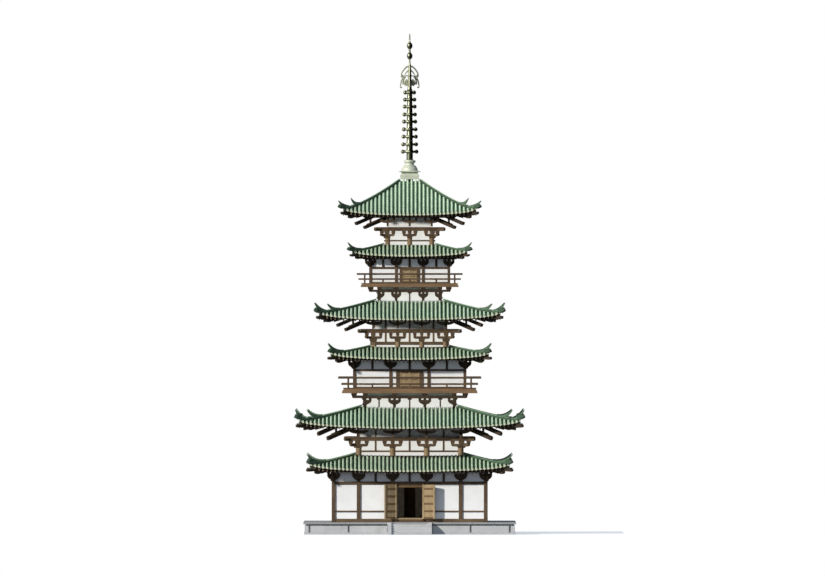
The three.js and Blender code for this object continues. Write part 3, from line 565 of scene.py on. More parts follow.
def roof_eaves(level):
    """The rafters and boards of one roof, cut at the hips, and the two beams over each hip."""
    roof = roofs[level]
    rafter = rafters[level]
    tip = rafter.tip
    fly_tip = roof.outer - tile_overhang
    fly_low = roof.eave - flying_drop

    def base(v):
        return rafter.low + rafter.slope * (tip - v)

    def flying(v):
        return fly_low + rafter.flying * (fly_tip - v)

    side = bmesh.new()
    rafter_row(side, roof, (roof.wall, tip), base)
    rafter_row(side, roof, (tip - flying_tail, fly_tip), flying, 1)
    board_sheet(side, roof, (roof.wall, tip), lambda v: base(v) + rafter_deep, board_thick)
    board_sheet(side, roof, (tip - 0.3, fly_tip), lambda v: flying(v) + rafter_deep, board_thick)
    # The board along the base tips fills the gap up to the flying rafters. The one along the
    # flying tips is higher, with a thin board on it that the lowest tiles lie on.
    end = tip - 0.02
    lip = flying(end) - base(end) - rafter_deep
    board_sheet(side, roof, (tip - 0.14, end), lambda v: base(end) + rafter_deep, max(0.04, lip))
    edge = fly_tip - 0.02
    board_sheet(side, roof, (edge - 0.13, edge), lambda v: flying(edge) + rafter_deep, 0.12)
    board_sheet(side, roof, (edge - 0.03, edge + 0.2), lambda v: flying(edge) + rafter_deep + 0.06, 0.035)
    cut_at_hips(side)
    on_four_sides(side)

    start = hip_beams[level].start
    heel, heel_low, heel_top = hip_beams[level].heel
    nose, nose_low, nose_top = hip_beams[level].nose
    under = heel_low + rafter.slope * (heel - start)
    lower = [(start, under), (heel - 0.12, heel_low), (heel, heel_low + 0.05), (heel, heel_top)]
    lower += [(heel - 0.3, heel_top + 0.1), (start, under + 0.35)]
    upper = [(heel - 0.5, heel_top - 0.06), (heel, heel_top), (nose - 0.1, nose_low)]
    upper += [(nose, nose_low + 0.04), (nose, nose_top), (heel - 0.5, nose_top + 0.02)]
    corner = bmesh.new()
    prism(corner, lower, (-0.115, 0.115), 0.012, place=along_hip)
    prism(corner, upper, (-0.1, 0.1), 0.012, place=along_hip)
    on_four_sides(corner)
    into(side, corner)
    return side


# Painted shade: a darker copy of the weathered cypress for the timbers under the eaves and the trunk
# inside.
shade_dark_cypress = sawn_timber("painted_shade_dark_cypress", "4a3c2d", "3c2f22", "2c2118")
rafter_end_grain = sawn_timber("limewashed_end_grain", "b39c89", "a08a77", "877262")
for level in roofs:
    name = f"gallery_{(level + 1) // 2}_eaves" if level % 2 else f"core_{level // 2}_eaves"
    piece(f"roof_{level}_rafters", roof_eaves(level), [shade_dark_cypress, rafter_end_grain], [name])


# Bracket sets of the galleries: on each post a bearing block, an arm along the wall with its
# ends rounded up, three small blocks, and the purlin under the rafters. Everything is halved
# and pegged together, with no nails. Short struts stand on the head beam between the posts.
gallery_brackets = table(
    # z: the top of the head beam, and the tops of bearing block, arm, small blocks and purlin.
    "line posts z struts reach",
    (1, 5.4, (1.19, 3.56, 5.31), (3.675, 3.9, 4.18, 4.31, 4.43), (0, 2.375), 0.46),
    (2, 3.94, (1.33, 3.86), (11.515, 11.74, 12.0, 12.13, 12.27), (0, 2.6), 0.46),
    (3, 2.82, (0.94, 2.74), (18.655, 18.84, 19.08, 19.2, 19.39), (0, 1.86), 0.4),
)
arm_half = 0.07
bow_angles = [math.radians(a) for a in (0, 14, 28, 42, 56, 72)]


def bearing_block(bm, x, v, z, half):
    """A square block whose lower half draws in to a smaller foot."""
    low, high = z
    part = bmesh.new()
    place = Matrix.LocRotScale((x, -v, (low + high) / 2), None, (2 * half, 2 * half, high - low))
    bmesh.ops.create_cube(part, size=1.0, matrix=place)
    cut(part, (x, -v, low + 0.45 * (high - low)), (0, 0, 1))
    foot = [vert for vert in part.verts if vert.co.z < low + 0.001]
    bmesh.ops.scale(part, vec=(0.68, 0.68, 1), verts=foot, space=Matrix.Translation((-x, v, 0)))
    arrises(part, 0.006)
    run_grain(part, 0)
    into(bm, part)


def along_wall(x, v):
    """The place of an arm that runs along the front wall."""
    return Matrix.Translation((x, -v, 0)) @ Matrix.Rotation(math.pi / 2, 4, "Z")


def bowed_arm(bm, reach, z, x, v):
    """An arm along the front wall whose underside is one round bow."""
    low, high = z
    bow = [(reach * math.cos(a), high - 0.02 - (high - low - 0.02) * math.sin(a)) for a in bow_angles]
    outline = [(reach, high), *bow, *((-out, height) for out, height in bow[::-1]), (-reach, high)]
    prism(bm, outline, (-arm_half, arm_half), 0.006, place=along_wall(x, v))


def bracket_arm(bm, reach, z, place, half=arm_half):
    """An arm with its underside rounded up at both ends, placed by a matrix."""
    low, high = z
    curve = 0.62 * (high - low)
    rounding = [(0, high), (0, low + curve), (0.35 * curve, low + 0.35 * curve), (1.1 * curve, low)]
    outline = [(reach[1] - inward, height) for inward, height in rounding]
    outline += [(reach[0] + inward, height) for inward, height in rounding[::-1]]
    prism(bm, outline, (-half, half), 0.007, place=place)


def wall_set(bm, x, v, z, reach, bearing=0.0, peg=0.1):
    """An arm along the wall with three blocks on it: bowed, or straight on a bearing block."""
    if bearing:
        bearing_block(bm, x, v, z[:2], bearing)
        bracket_arm(bm, (-reach, reach), (z[1] - 0.02, z[2]), along_wall(x, v))
    else:
        bearing_block(bm, x, v, (z[0], z[0] + 0.6 * (z[1] - z[0])), 0.13)
        bowed_arm(bm, reach, (z[0] + 0.3 * (z[1] - z[0]), z[2]), x, v)
    for step in (-1, 0, 1):
        bearing_block(bm, x + step * (reach - 0.1), v, z[2:4], peg)


for level, bracket in gallery_brackets.items():
    line = bracket.line
    z = bracket.z
    side = bmesh.new()
    for x in both_hands(bracket.posts):
        wall_set(side, x, line, (z[0] + 0.03, *z[1:]), bracket.reach)
    for x in both_hands(bracket.struts):
        block(side, span(x, 0.075), (line - 0.06, line + 0.03), (z[0] - 0.005, z[3]), 0.01)
    block(side, span(0, line + bracket.reach + 0.08), span(line, 0.075), z[3:], 0.01)
    on_four_sides(side)
    # The bracket sets take the darker cypress, which paints the shade under the eaves.
    piece(f"gallery_{level}_bracket_sets", side, [shade_dark_cypress], [f"gallery_{level}_eaves"])


# Bracket sets of the core: three steps out from the wall on each pillar. Two arms carry the
# first steps, and slanting cantilevers come down through them to hold the outer purlin. At the
# corners the arms and two cantilevers run out along the hips. The top core has no struts.
core_brackets = {
    # How far out the wall, the near and far steps and the outer purlin stand, the tips of the
    # cantilevers, and heights: the foot of a set, and the tops of each member, from the bottom up.
    1: Sizes(
        line=3.68, posts=(1.19, 3.56), struts=(0, 2.375), reach=0.66, bearing=0.24, peg=0.15,
        z=(6.01, 6.13, 6.3, 6.5, 6.79), near=4.12, far=4.5, deep=0.23, tail=(5.5, 6.85),
        hip_tails=((5.74, 6.65), (6.4, 6.97)), outer=5.15, outer_z=(7.0, 7.26, 7.4, 7.66),
    ),
    2: Sizes(
        line=2.6, posts=(0.84, 2.5), struts=(0, 1.67), reach=0.58, bearing=0.22, peg=0.12,
        z=(13.43, 13.65, 13.81, 14.04, 14.24), near=3.04, far=3.545, deep=0.21, tail=(4.28, 14.44),
        hip_tails=((4.5, 14.25), (5.06, 14.56)), outer=3.96, outer_z=(14.59, 14.82, 14.95, 15.18),
    ),
    3: Sizes(
        line=1.64, posts=(0, 1.54), struts=(), reach=0.5, bearing=0.2, peg=0.14,
        z=(20.66, 20.82, 20.97, 21.175, 21.35), near=1.99, far=2.405, deep=0.19, tail=(3.01, 21.57),
        hip_tails=((3.19, 21.4), (3.78, 21.67)), outer=2.745, outer_z=(21.73, 21.92, 22.1, 22.33),
    ),
}  # fmt: skip
tail_slope = 0.43


def cantilever(bm, start, tip, deep, place, half=0.075, finish=0):
    """A slanting cantilever from inside the wall to its tip, cut square to its length."""
    low = tip[1] - deep / 2
    back = low + tail_slope * (tip[0] - start)
    outline = [(start, back), (tip[0] - 0.04, low + tail_slope * 0.04)]
    outline += [(tip[0] + 0.03, low + deep), (start, back + deep)]
    prism(bm, outline, (-half, half), 0.01, finish, place)


# The cantilevers over the hips take the darker cypress as painted shade.
bracket_timbers = [old_cypress, shade_dark_cypress]
for level, core in core_brackets.items():
    line, near, far, outer, reach = core.line, core.near, core.far, core.outer, core.reach
    z = core.z
    outer_z = core.outer_z
    arm_top = z[3] + z[2] - z[1]

    # On each pillar the two steps, the cantilever through them and the arm under the outer purlin.
    side = bmesh.new()
    for x in both_hands(core.posts):
        wall_set(side, x, line, z, reach, core.bearing, core.peg)
        out = Matrix.Translation((x, 0, 0))
        bracket_arm(side, (line - 0.4, near + 0.1), z[1:3], out)
        bearing_block(side, x, near, z[2:4], 0.1)
        bracket_arm(side, (line - 0.4, far + 0.1), (z[3], arm_top), out)
        bracket_arm(side, (-reach, reach), (z[3], arm_top), along_wall(x, near))
        bearing_block(side, x, far, (arm_top, arm_top + 0.1), 0.1)
        cantilever(side, line - 0.3, core.tail, core.deep, out)
        bowed_arm(side, reach + 0.04, outer_z[:2], x, outer)
        for shift in (-1, 0, 1):
            bearing_block(side, x + shift * (reach - 0.06), outer, outer_z[1:3], 0.09)
    # The struts between the pillars, the beams over the wall and the near step, and the purlin.
    for x in both_hands(core.struts):
        block(side, span(x, 0.07), (line - 0.06, line + 0.03), (z[0] - 0.17, z[3]), 0.01)
        block(side, span(x, 0.06), (line - 0.06, line + 0.03), (z[4], outer_z[2]), 0.01)
    block(side, span(0, core.posts[-1] + reach + 0.12), span(line, 0.08), z[3:])
    block(side, span(0, near + 0.4), span(near, 0.06), (arm_top + 0.01, arm_top + 0.12))
    block(side, span(0, outer + 0.45), span(outer, 0.07), outer_z[2:])
    on_four_sides(side)

    # The arms and cantilevers over the hips.
    corner = bmesh.new()
    lower, upper = core.hip_tails
    start = core.posts[-1] - 0.2
    cantilever(corner, start, lower, core.deep, along_hip, 0.11, 1)
    cantilever(corner, near, upper, core.deep, along_hip, 0.11, 1)
    bracket_arm(corner, (start, near + 0.05), z[1:3], along_hip, 0.095)
    bracket_arm(corner, (start, far + 0.05), (z[3], arm_top), along_hip, 0.095)
    on_four_sides(corner)
    into(side, corner)
    piece(f"core_{level}_bracket_sets", side, bracket_timbers, [f"core_{level}_eaves"])


# Balconies: a framed base stands on the roof below, with bracket sets that carry its wall beam.
# Outriggers reach from the beam to a purlin under the edge of the deck. The deck is boarded,
# with a broad edge board, and a balustrade of round and square rails stands on it.
balconies = {
    # The sill and the deck have their inner and outer edges, flare is how far the edge board
    # leans, and each rail has its half length and its two heights.
    2: Sizes(
        line=3.2, posts=(1.06, 3.11), struts=(0, 2.14), post=0.1, reach=0.45, sill=(3.0, 3.26),
        sill_z=(8.15, 8.33), z=(8.99, 9.16, 9.37, 9.47, 9.65), purlin=3.92, purlin_z=(9.49, 9.65),
        deck=(1.2, 4.75), deck_z=(9.835, 10.15), flare=0.13, rail_line=4.3, rail_struts=(0, 2.6),
        square_rails=((4.65, (10.14, 10.19)), (4.78, (10.41, 10.54))), hand_rail=(5.0, (10.85, 10.99)),
    ),
    3: Sizes(
        line=2.2, posts=(0.945, 2.11), struts=(0,), post=0.09, reach=0.36, sill=(2.0, 2.26),
        sill_z=(15.7, 15.88), z=(16.44, 16.6, 16.8, 16.89, 17.07), purlin=2.76, purlin_z=(16.91, 17.07),
        deck=(0.9, 3.44), deck_z=(17.25, 17.49), flare=0.1, rail_line=3.15, rail_struts=(0, 1.86),
        square_rails=((3.4, (17.48, 17.53)), (3.58, (17.75, 17.87))), hand_rail=(3.7, (18.1, 18.23)),
    ),
}  # fmt: skip
joist_pitch = 0.5
board_width = 0.2
deck_cypress = sawn_timber("worn_deck_cypress", "8b6f52", "785e43", "644d36")
for level, balcony in balconies.items():
    line, purlin, z = balcony.line, balcony.purlin, balcony.z
    inside, half = balcony.deck
    deck_low, deck_high = balcony.deck_z

    # Base: sill, posts, bracket sets, wall beam, outriggers, purlin and joists.
    side = bmesh.new()
    block(side, (-balcony.sill[1], balcony.sill[0]), balcony.sill, balcony.sill_z, 0.014)
    post_foot = balcony.sill_z[1] - 0.01
    for x in both_hands(balcony.posts):
        block(side, span(x, balcony.post), (line - 0.06, line + 0.05), (post_foot, z[0] + 0.01))
        wall_set(side, x, line, z, balcony.reach)
    for x in both_hands(balcony.struts):
        block(side, span(x, 0.05), (line - 0.06, line + 0.03), (post_foot, z[2]), 0.01)
        bearing_block(side, x, line, z[2:4], 0.15)
    block(side, span(0, line + balcony.reach), span(line, 0.08), z[3:])
    for x in both_hands(balcony.posts[:1]):
        block(side, span(x, 0.07), (line, purlin), balcony.purlin_z)
    block(side, span(0, purlin), span(purlin, 0.07), balcony.purlin_z)
    blocks_z = (balcony.purlin_z[1] - 0.01, deck_low)
    for x in both_hands(balcony.posts):
        bearing_block(side, x, purlin, blocks_z, 0.17)
    bearing_block(side, purlin - 0.06, purlin - 0.06, blocks_z, 0.17)
    joists = int(half / joist_pitch)
    joist_z = (deck_low, deck_low + 0.12)
    for i in range(-joists, joists + 1):
        block(side, span(joist_pitch * i, 0.045), (line - 0.2, half - 0.14), joist_z, 0.008)
    cut_at_hips(side)
    on_four_sides(side)
    corner = bmesh.new()
    bracket_arm(corner, (line - 0.2, purlin + 0.06), balcony.purlin_z, along_hip, 0.08)
    on_four_sides(corner)
    into(side, corner)
    # The base timbers take the darker cypress as painted shade under the deck.
    piece(f"balcony_{level}_base_timbers", side, [shade_dark_cypress], [f"balcony_{level}_frame"])

    # The plaster strip between the wall beam and the deck.
    side = bmesh.new()
    block(side, (-line - 0.03, line - 0.05), (line - 0.05, line + 0.03), (z[4] - 0.01, deck_low), 0.004)
    on_four_sides(side)
    piece(f"balcony_{level}_upper_plaster", side, [plaster], [f"balcony_{level}_frame"])

    # Deck: boards laid square to the edge, and an edge board whose face leans outward.
    side = bmesh.new()
    flare = balcony.flare
    back = half - 0.32
    middle = deck_low + 0.55 * (deck_high - deck_low)
    high = deck_high - 0.03
    edge = [(back, deck_low), (half - 0.01, deck_low), (half - 0.35 * flare, middle), (back, middle)]
    prism(side, edge, (-half, half), 0.01)
    top = [(back, middle), (half - 0.4 * flare, middle), (half - flare, high), (back, high)]
    prism(side, top, (-half, half), 0.01)
    boards = round(2 * half / board_width)
    for i in range(boards):
        left = -half + i * 2 * half / boards
        across = (left + 0.003, left + 2 * half / boards - 0.003)
        block(side, across, (inside, half - flare - 0.02), (deck_high - 0.05, deck_high), 0.005)
    cut_at_hips(side)
    on_four_sides(side)
    piece(f"balcony_{level}_boards", side, [deck_cypress], [f"balcony_{level}_deck"])

    # Balustrade: three rails, corner posts up to the handrail, and struts up to the middle rail.
    side = bmesh.new()
    rail_line = balcony.rail_line
    for end, rail_z in balcony.square_rails:
        block(side, span(0, end), span(rail_line, 0.04), rail_z, 0.008)
    middle_low = rail_z[0]
    end, (low, high) = balcony.hand_rail
    lay = Matrix.Translation((0, -rail_line, (low + high) / 2)) @ Matrix.Rotation(math.pi / 2, 4, "Y")
    radius = (high - low) / 2
    round_timber(side, lay, (radius, radius), 2 * end, 12, 0)
    block(side, span(rail_line, 0.055), span(rail_line, 0.055), (deck_high, low + 0.03))
    for x in both_hands(balcony.rail_struts):
        block(side, span(x, 0.06), span(rail_line, 0.04), (deck_high, middle_low + 0.01), 0.008)
    on_four_sides(side)
    piece(f"balcony_{level}_rails", side, [old_cypress], [f"balcony_{level}_balustrade"])


# Upper galleries: the same post and beam frames as on the ground, smaller, each with a pair of
# doors in the middle of every side that open onto the balcony.
upper_galleries = table(
    # leaf and jamb: the half widths of the door and of its frame. lintel: the height of its head.
    "wall face post posts z leaf jamb lintel",
    (2, 3.86, 3.9, 0.105, (1.33,), (10.15, 10.29, 11.375, 11.55), 0.68, 0.95, 11.3),
    (3, 2.74, 2.78, 0.095, (0.94,), (17.49, 17.61, 18.515, 18.7), 0.48, 0.71, 18.44),
)
for level, gallery in upper_galleries.items():
    wall, post, leaf, lintel = gallery.wall, gallery.post, gallery.leaf, gallery.lintel
    floor_z, sill_top, head_low, post_top = gallery.z
    back = gallery.face - 0.02
    front = wall + post
    side = bmesh.new()
    for x in both_hands(gallery.posts):
        block(side, span(x, post), (back, front), (sill_top, post_top))
    block(side, span(wall, post), span(wall, post), (floor_z, post_top))
    block(side, span(0, wall - post), (back, front - 0.01), (floor_z, sill_top))
    block(side, span(0, wall - post), (back, front - 0.015), (head_low, post_top - 0.035))
    for left in (-gallery.jamb, leaf):
        block(side, (left, left + gallery.jamb - leaf), (back, front - 0.005), (sill_top, head_low))
    block(side, span(0, leaf), (back, front - 0.005), (lintel, head_low), 0.01)
    ledges = [sill_top + share * (lintel - sill_top) for share in (0, 0.46, 0.93)]
    for left in (-leaf, 0.003):
        across = (left, left + leaf - 0.003)
        boarded_leaf(side, across, (sill_top, lintel), gallery.face + 0.035, ledges, 0.022)
    on_four_sides(side)
    piece(f"gallery_{level}_timbers", side, joinery, [f"gallery_{level}_frame"])


# Roofs: clay tiles with a green glaze, laid dry in rows down each slope. Curved pans lie side
# by side and half-round covers stand over their joints, each lapping the one below it. Their
# colour goes from a painted shade, dark green in the pans, to a painted highlight on the covers.
row_pitch = 0.281
cover_length = 0.31
cover_radius = (0.068, 0.078)
cover_line = -0.085
pan_middle, pan_side = -0.122, -0.09
tile_lap = 0.02


def tile_height(roof, v, x):
    """The height of the backs of the cover tiles."""
    share = min(1.0, (v - roof.inner) / (roof.outer - roof.inner))
    return roof.eave + (roof.top - roof.eave) * (1 - share) ** roof.sag + corner_lift(roof, v, x)


def mark_tile(part, number, length):
    """UV of a tile: U is the tile's number and the way along it, V the height in metres."""
    uv = part.loops.layers.uv.verify()
    low = min(vert.co.y for vert in part.verts)
    for face in part.faces:
        for loop in face.loops:
            share = (loop.vert.co.y - low) / length
            loop[uv].uv = (number + 0.05 + 0.9 * share, loop.vert.co.z)


def hollow(x):
    """How far a pan rises above its middle, x along it."""
    return (pan_side - pan_middle) * min(1.0, abs(x / row_pitch - 0.5) * 2) ** 2


def open_back(part):
    """Takes away the end that faces back into the roof."""
    part.normal_update()
    bmesh.ops.delete(part, geom=[face for face in part.faces if face.normal.y > 0.9], context="FACES")


def cover_tile(column, v, length, number):
    """One half-round cover, from a cone cut in half along its length."""
    part = bmesh.new()
    lay = Matrix.Translation((0, -v + length / 2, cover_line)) @ Matrix.Rotation(math.pi / 2, 4, "X")
    cone(part, lay, cover_radius, length + 0.03, 12)
    open_back(part)
    cut(part, (0, 0, cover_line), (0, 0, -1), True)
    smooth_sides(part, 1)
    mark_tile(part, number, length)
    into(column, part)


def pan_tile(column, v, length, number):
    """One hollow pan with its lower edge standing a little proud of the pan below."""
    part = bmesh.new()
    place = Matrix.LocRotScale((row_pitch / 2, -v + length / 2, 0), None, (row_pitch / 2, length / 2, 1))
    bmesh.ops.create_grid(part, x_segments=3, y_segments=1, size=1, matrix=place)
    for vert in part.verts:
        vert.co.z = pan_middle + hollow(vert.co.x) - (tile_lap if vert.co.y > -v + 0.001 else 0)
    front = [edge for edge in part.edges if all(vert.co.y < -v + 0.001 for vert in edge.verts)]
    lip = bmesh.ops.extrude_edge_only(part, edges=front)["geom"]
    bmesh.ops.translate(part, vec=(0, 0, -tile_lap), verts=verts_of(lip))
    bmesh.ops.recalc_face_normals(part, faces=part.faces)
    if part.faces[0].normal.z < 0:
        bmesh.ops.reverse_faces(part, faces=part.faces)
    mark_tile(part, number, length)
    into(column, part)


def eave_end(column, v, number):
    """The round plate that closes a row of covers, with a raised rim, and the drop of the pan."""
    part = bmesh.new()
    stand = Matrix.Translation((0, -v - 0.012, cover_line - 0.015)) @ Matrix.Rotation(math.pi / 2, 4, "X")
    cone(part, stand, (0.096, 0.086), 0.036, 12)
    open_back(part)
    front = [face for face in part.faces if face.normal.y < -0.9]
    bmesh.ops.inset_region(part, faces=front, thickness=0.014, depth=0)
    bmesh.ops.translate(part, vec=(0, 0.009, 0), verts=front[0].verts)
    for face in part.faces:
        face.material_index = 1
    mark_tile(part, number, 1)
    into(column, part)
    drop = bmesh.new()
    upright = Matrix.Rotation(math.pi / 2, 3, "X")
    place = Matrix.LocRotScale((row_pitch / 2, -v - 0.008, -0.145), upright, (row_pitch / 2, 0.022, 1))
    bmesh.ops.create_grid(drop, x_segments=4, y_segments=1, size=1, matrix=place)
    for vert in drop.verts:
        vert.co.z += hollow(vert.co.x)
    bmesh.ops.solidify(drop, geom=drop.faces[:], thickness=0.02)
    bmesh.ops.recalc_face_normals(drop, faces=drop.faces)
    # Lying low, the drop takes the dark green of the painted shade.
    mark_tile(drop, number, 1)
    into(column, drop)


def tiled_slopes(roof):
    """The four slopes: rows of tiles laid flat along the front, cut at the hips and lifted."""
    count = round((roof.outer - roof.inner) / cover_length)
    length = (roof.outer - roof.inner) / count
    column = bmesh.new()
    for i in range(count):
        cover_tile(column, roof.outer - i * length, length, 2 * i)
        pan_tile(column, roof.outer - i * length, length, 2 * i + 1)
    eave_end(column, roof.outer, 2 * count)
    laid = bpy.data.meshes.new("column")
    column.to_mesh(laid)
    column.free()
    rows = math.ceil(roof.outer / row_pitch)
    slope = bmesh.new()
    for i in range(-rows - 1, rows):
        row = bmesh.new()
        row.from_mesh(laid)
        for vert in row.verts:
            vert.co.x += (i + 0.5) * row_pitch
        uv = row.loops.layers.uv.verify()
        for face in row.faces:
            for loop in face.loops:
                loop[uv].uv.x += 60 * (i + rows + 1)
        into(slope, row)
    bpy.data.meshes.remove(laid)
    cut_at_hips(slope)
    for vert in slope.verts:
        vert.co.z += tile_height(roof, -vert.co.y, vert.co.x)
    on_four_sides(slope)
    return slope


def glazed_tile(name, deep, thin, worn_colour, run_colour):
    """Green glaze on clay, satin, with painted light: deep green as painted shade low in the pans, pale
    celadon as a painted highlight on the backs of the covers.
    """
    material, shader, place = new_material(name)
    parts = add(material, "SeparateXYZ", {0: place["UV"]}).outputs
    # Painted light: deep is the painted shade low in the pans and thin the painted highlight high on the
    # covers, picked by each point's height in the tile.
    painted_light_range = {"Value": parts["Y"], "From Min": -0.1, "From Max": -0.02}
    high = add(material, "MapRange", painted_light_range, interpolation_type="SMOOTHSTEP")
    number = add(material, "Math", {0: parts["X"]}, operation="FLOOR")
    each = add(material, "TexWhiteNoise", {"W": number}, noise_dimensions="1D")
    run = add(material, "TexNoise", {"Vector": place["Object"], "Scale": 9.0, "Detail": 4})
    glaze = add(material, "Mix", {0: high, 6: srgb(deep), 7: srgb(thin)}, data_type="RGBA")
    worn = add(material, "MapRange", {"Value": each, "To Min": 0.0, "To Max": 0.25})
    shade = add(material, "Mix", {0: worn, 6: glaze, 7: srgb(worn_colour)}, data_type="RGBA")
    streak = add(material, "MapRange", {"Value": run, "From Min": 0.35, "To Max": 0.25})
    mottled = add(material, "Mix", {0: streak, 6: shade, 7: srgb(run_colour)}, data_type="RGBA")
    gloss = add(material, "MapRange", {"Value": run, "To Min": 0.42, "To Max": 0.62})
    bump = add(material, "Bump", {"Height": run, "Strength": 0.2, "Distance": 0.004})
    feed(shader, {"Base Color": mottled, "Roughness": gloss, "Normal": bump})
    return material


def slipped_clay():
    """The eave plates: the same clay, pressed in a mould, with a thin cream slip."""
    material, shader, place = new_material("cream_slipped_clay")
    cloud = add(material, "TexNoise", {"Vector": place["Object"], "Scale": 14.0, "Detail": 4})
    colour = add(material, "Mix", {0: cloud, 6: srgb("b2b497"), 7: srgb("d9dbc2")}, data_type="RGBA")
    bump = add(material, "Bump", {"Height": cloud, "Strength": 0.3, "Distance": 0.004})
    feed(shader, {"Base Color": colour, "Roughness": 0.6, "Normal": bump})
    return material


green_glaze = glazed_tile("green_glazed_clay_tile", "366238", "cce4c6", "6d8768", "b9cab0")
roof_finish = [green_glaze, slipped_clay()]
for level, roof in roofs.items():
    piece(f"roof_{level}_tile_rows", tiled_slopes(roof), roof_finish, [f"roof_{level}_tiles"])


# Hip ridges: flat ridge tiles laid in courses over each hip, closed with round cap tiles. The
# main roofs have a second, shorter tier on top. Each tier ends in an upturned horn of moulded
# clay that stands on a ridge end block.
ridges = table(
    # The tip of each horn, and the end block's distance out, foot and top.
    "start horns block",
    (1, 3.8, [(7.2, 5.635)], (7.22, 4.865, 5.215)),
    (2, 3.4, [(7.19, 8.715), (8.0, 8.75)], (8.05, 8.015, 8.365)),
    (3, 2.7, [(5.72, 13.335)], (5.74, 12.635, 12.9)),
    (4, 2.38, [(5.775, 16.11), (6.66, 16.18)], (6.7, 15.435, 15.785)),
    (5, 1.8, [(4.34, 20.4)], (4.4, 19.765, 20.01)),
    (6, 0.74, [(4.13, 23.5), (5.0, 23.31)], (5.03, 22.74, 23.0)),
)
low_tier = 0.095
high_tier = 0.125
sunk = 0.06
course_height = 0.054
ridge_tile = 0.33
ridge_half = 0.105
cap_radius = 0.062


def set_glaze(bm, depth):
    """Sets every face of a ridge piece to one level of the painted light in the glaze, each tile with its
    own tint.
    """
    uv = bm.loops.layers.uv.verify()
    for i, face in enumerate(bm.faces):
        for loop in face.loops:
            loop[uv].uv = (i // 6 + 0.5, depth)


def ridge_tier(roof, v, base, top, widen):
    """A length of ridge between two distances out: its courses of flat tiles and its caps."""
    courses = bmesh.new()
    count = max(1, round((top - cap_radius - base) / course_height))
    height = (top - cap_radius - base) / count
    lengths = max(1, round((v[1] - v[0]) / ridge_tile))
    length = (v[1] - v[0]) / lengths
    for k in range(count):
        half = ridge_half + widen - 0.012 * (k % 2)
        for i in range(lengths):
            near = v[0] + (i + 0.5 * (k % 2)) * length
            z = (base + k * height, base + (k + 1) * height - 0.006)
            block(courses, (-half, half), (near, min(near + length - 0.004, v[1])), z, 0)
    set_glaze(courses, -0.09)
    caps = bmesh.new()
    for i in range(lengths):
        cover_tile(caps, v[0] + (i + 1) * length, length, i)
    grow = cap_radius / cover_radius[1]
    lift = top - cap_radius - cover_line * grow
    move(caps, Matrix.LocRotScale((0, 0, lift), None, (grow, 1, grow)))
    into(courses, caps)
    for vert in courses.verts:
        v_out = -vert.co.y
        vert.co.z += tile_height(roof, v_out, v_out)
    return courses


def curl(bm, path, wide, thick):
    """A tapering bar along (distance out, height) points: wide in their plane, thick across it."""
    part = bmesh.new()
    bmesh.ops.create_circle(part, cap_ends=True, segments=8, radius=0.5)
    placed = Matrix.Identity(4)
    for i, (v, z) in enumerate(path):
        before = path[max(i - 1, 0)]
        after = path[min(i + 1, len(path) - 1)]
        along = Vector((0, before[0] - after[0], after[1] - before[1])).normalized()
        up = along.cross(Vector((1, 0, 0)))
        columns = (Vector((thick[i], 0, 0)), up * wide[i], along, Vector((0, -v, z)))
        place = Matrix([[*(column[row] for column in columns)] for row in range(3)] + [[0, 0, 0, 1]])
        moved = part.verts[:]
        if i:
            moved = verts_of(bmesh.ops.extrude_face_region(part, geom=[end])["geom"])
        end = [face for face in part.faces if all(vert in moved for vert in face.verts)][0]
        bmesh.ops.transform(part, matrix=place @ placed.inverted(), verts=moved)
        placed = place
    bmesh.ops.recalc_face_normals(part, faces=part.faces)
    run_grain(part, 2)
    for face in part.faces:
        face.smooth = len(face.verts) == 4
    into(bm, part)


def horn(foot, bend, tip, half):
    """The upturned end of a ridge: its caps run on, sweep up and come to a point."""
    wide = [0.3, 0.32, 0.32, 0.3, 0.27, 0.22, 0.17, 0.12, 0.05]
    thick = [2 * half * share for share in (1, 1, 1, 0.95, 0.85, 0.75, 0.6, 0.45, 0.25)]
    low = (foot[0], foot[1] - 0.12)
    end = (tip[0] - 0.02, tip[1] - 0.03)
    path = []
    for i in range(9):
        t = i / 8
        path.append([(1 - t) ** 2 * low[k] + 2 * t * (1 - t) * bend[k] + t**2 * end[k] for k in (0, 1)])
    made = bmesh.new()
    curl(made, path, wide, thick)
    set_glaze(made, -0.075)
    return made


def ridge_block(out, low, high):
    """The moulded block that closes a ridge end: it leans out, with a plain round boss on it."""
    tall = high - low
    outline = [(out - 0.42, low + 0.03), (out - 0.25, low), (out, low + 0.42 * tall)]
    outline += [(out - 0.12, high + 0.05), (out - 0.42, high)]
    made = bmesh.new()
    prism(made, outline, (-0.14, 0.14), 0.03)
    boss = bmesh.new()
    lean = Matrix.Rotation(math.pi / 2 - 0.5, 4, "X")
    seat = Matrix.Translation((0, 0.05 - out, low + 0.72 * tall)) @ lean
    cone(boss, seat, (0.3 * tall, 0.18 * tall), 0.08, 16)
    into(made, boss)
    set_glaze(made, -0.095)
    return made


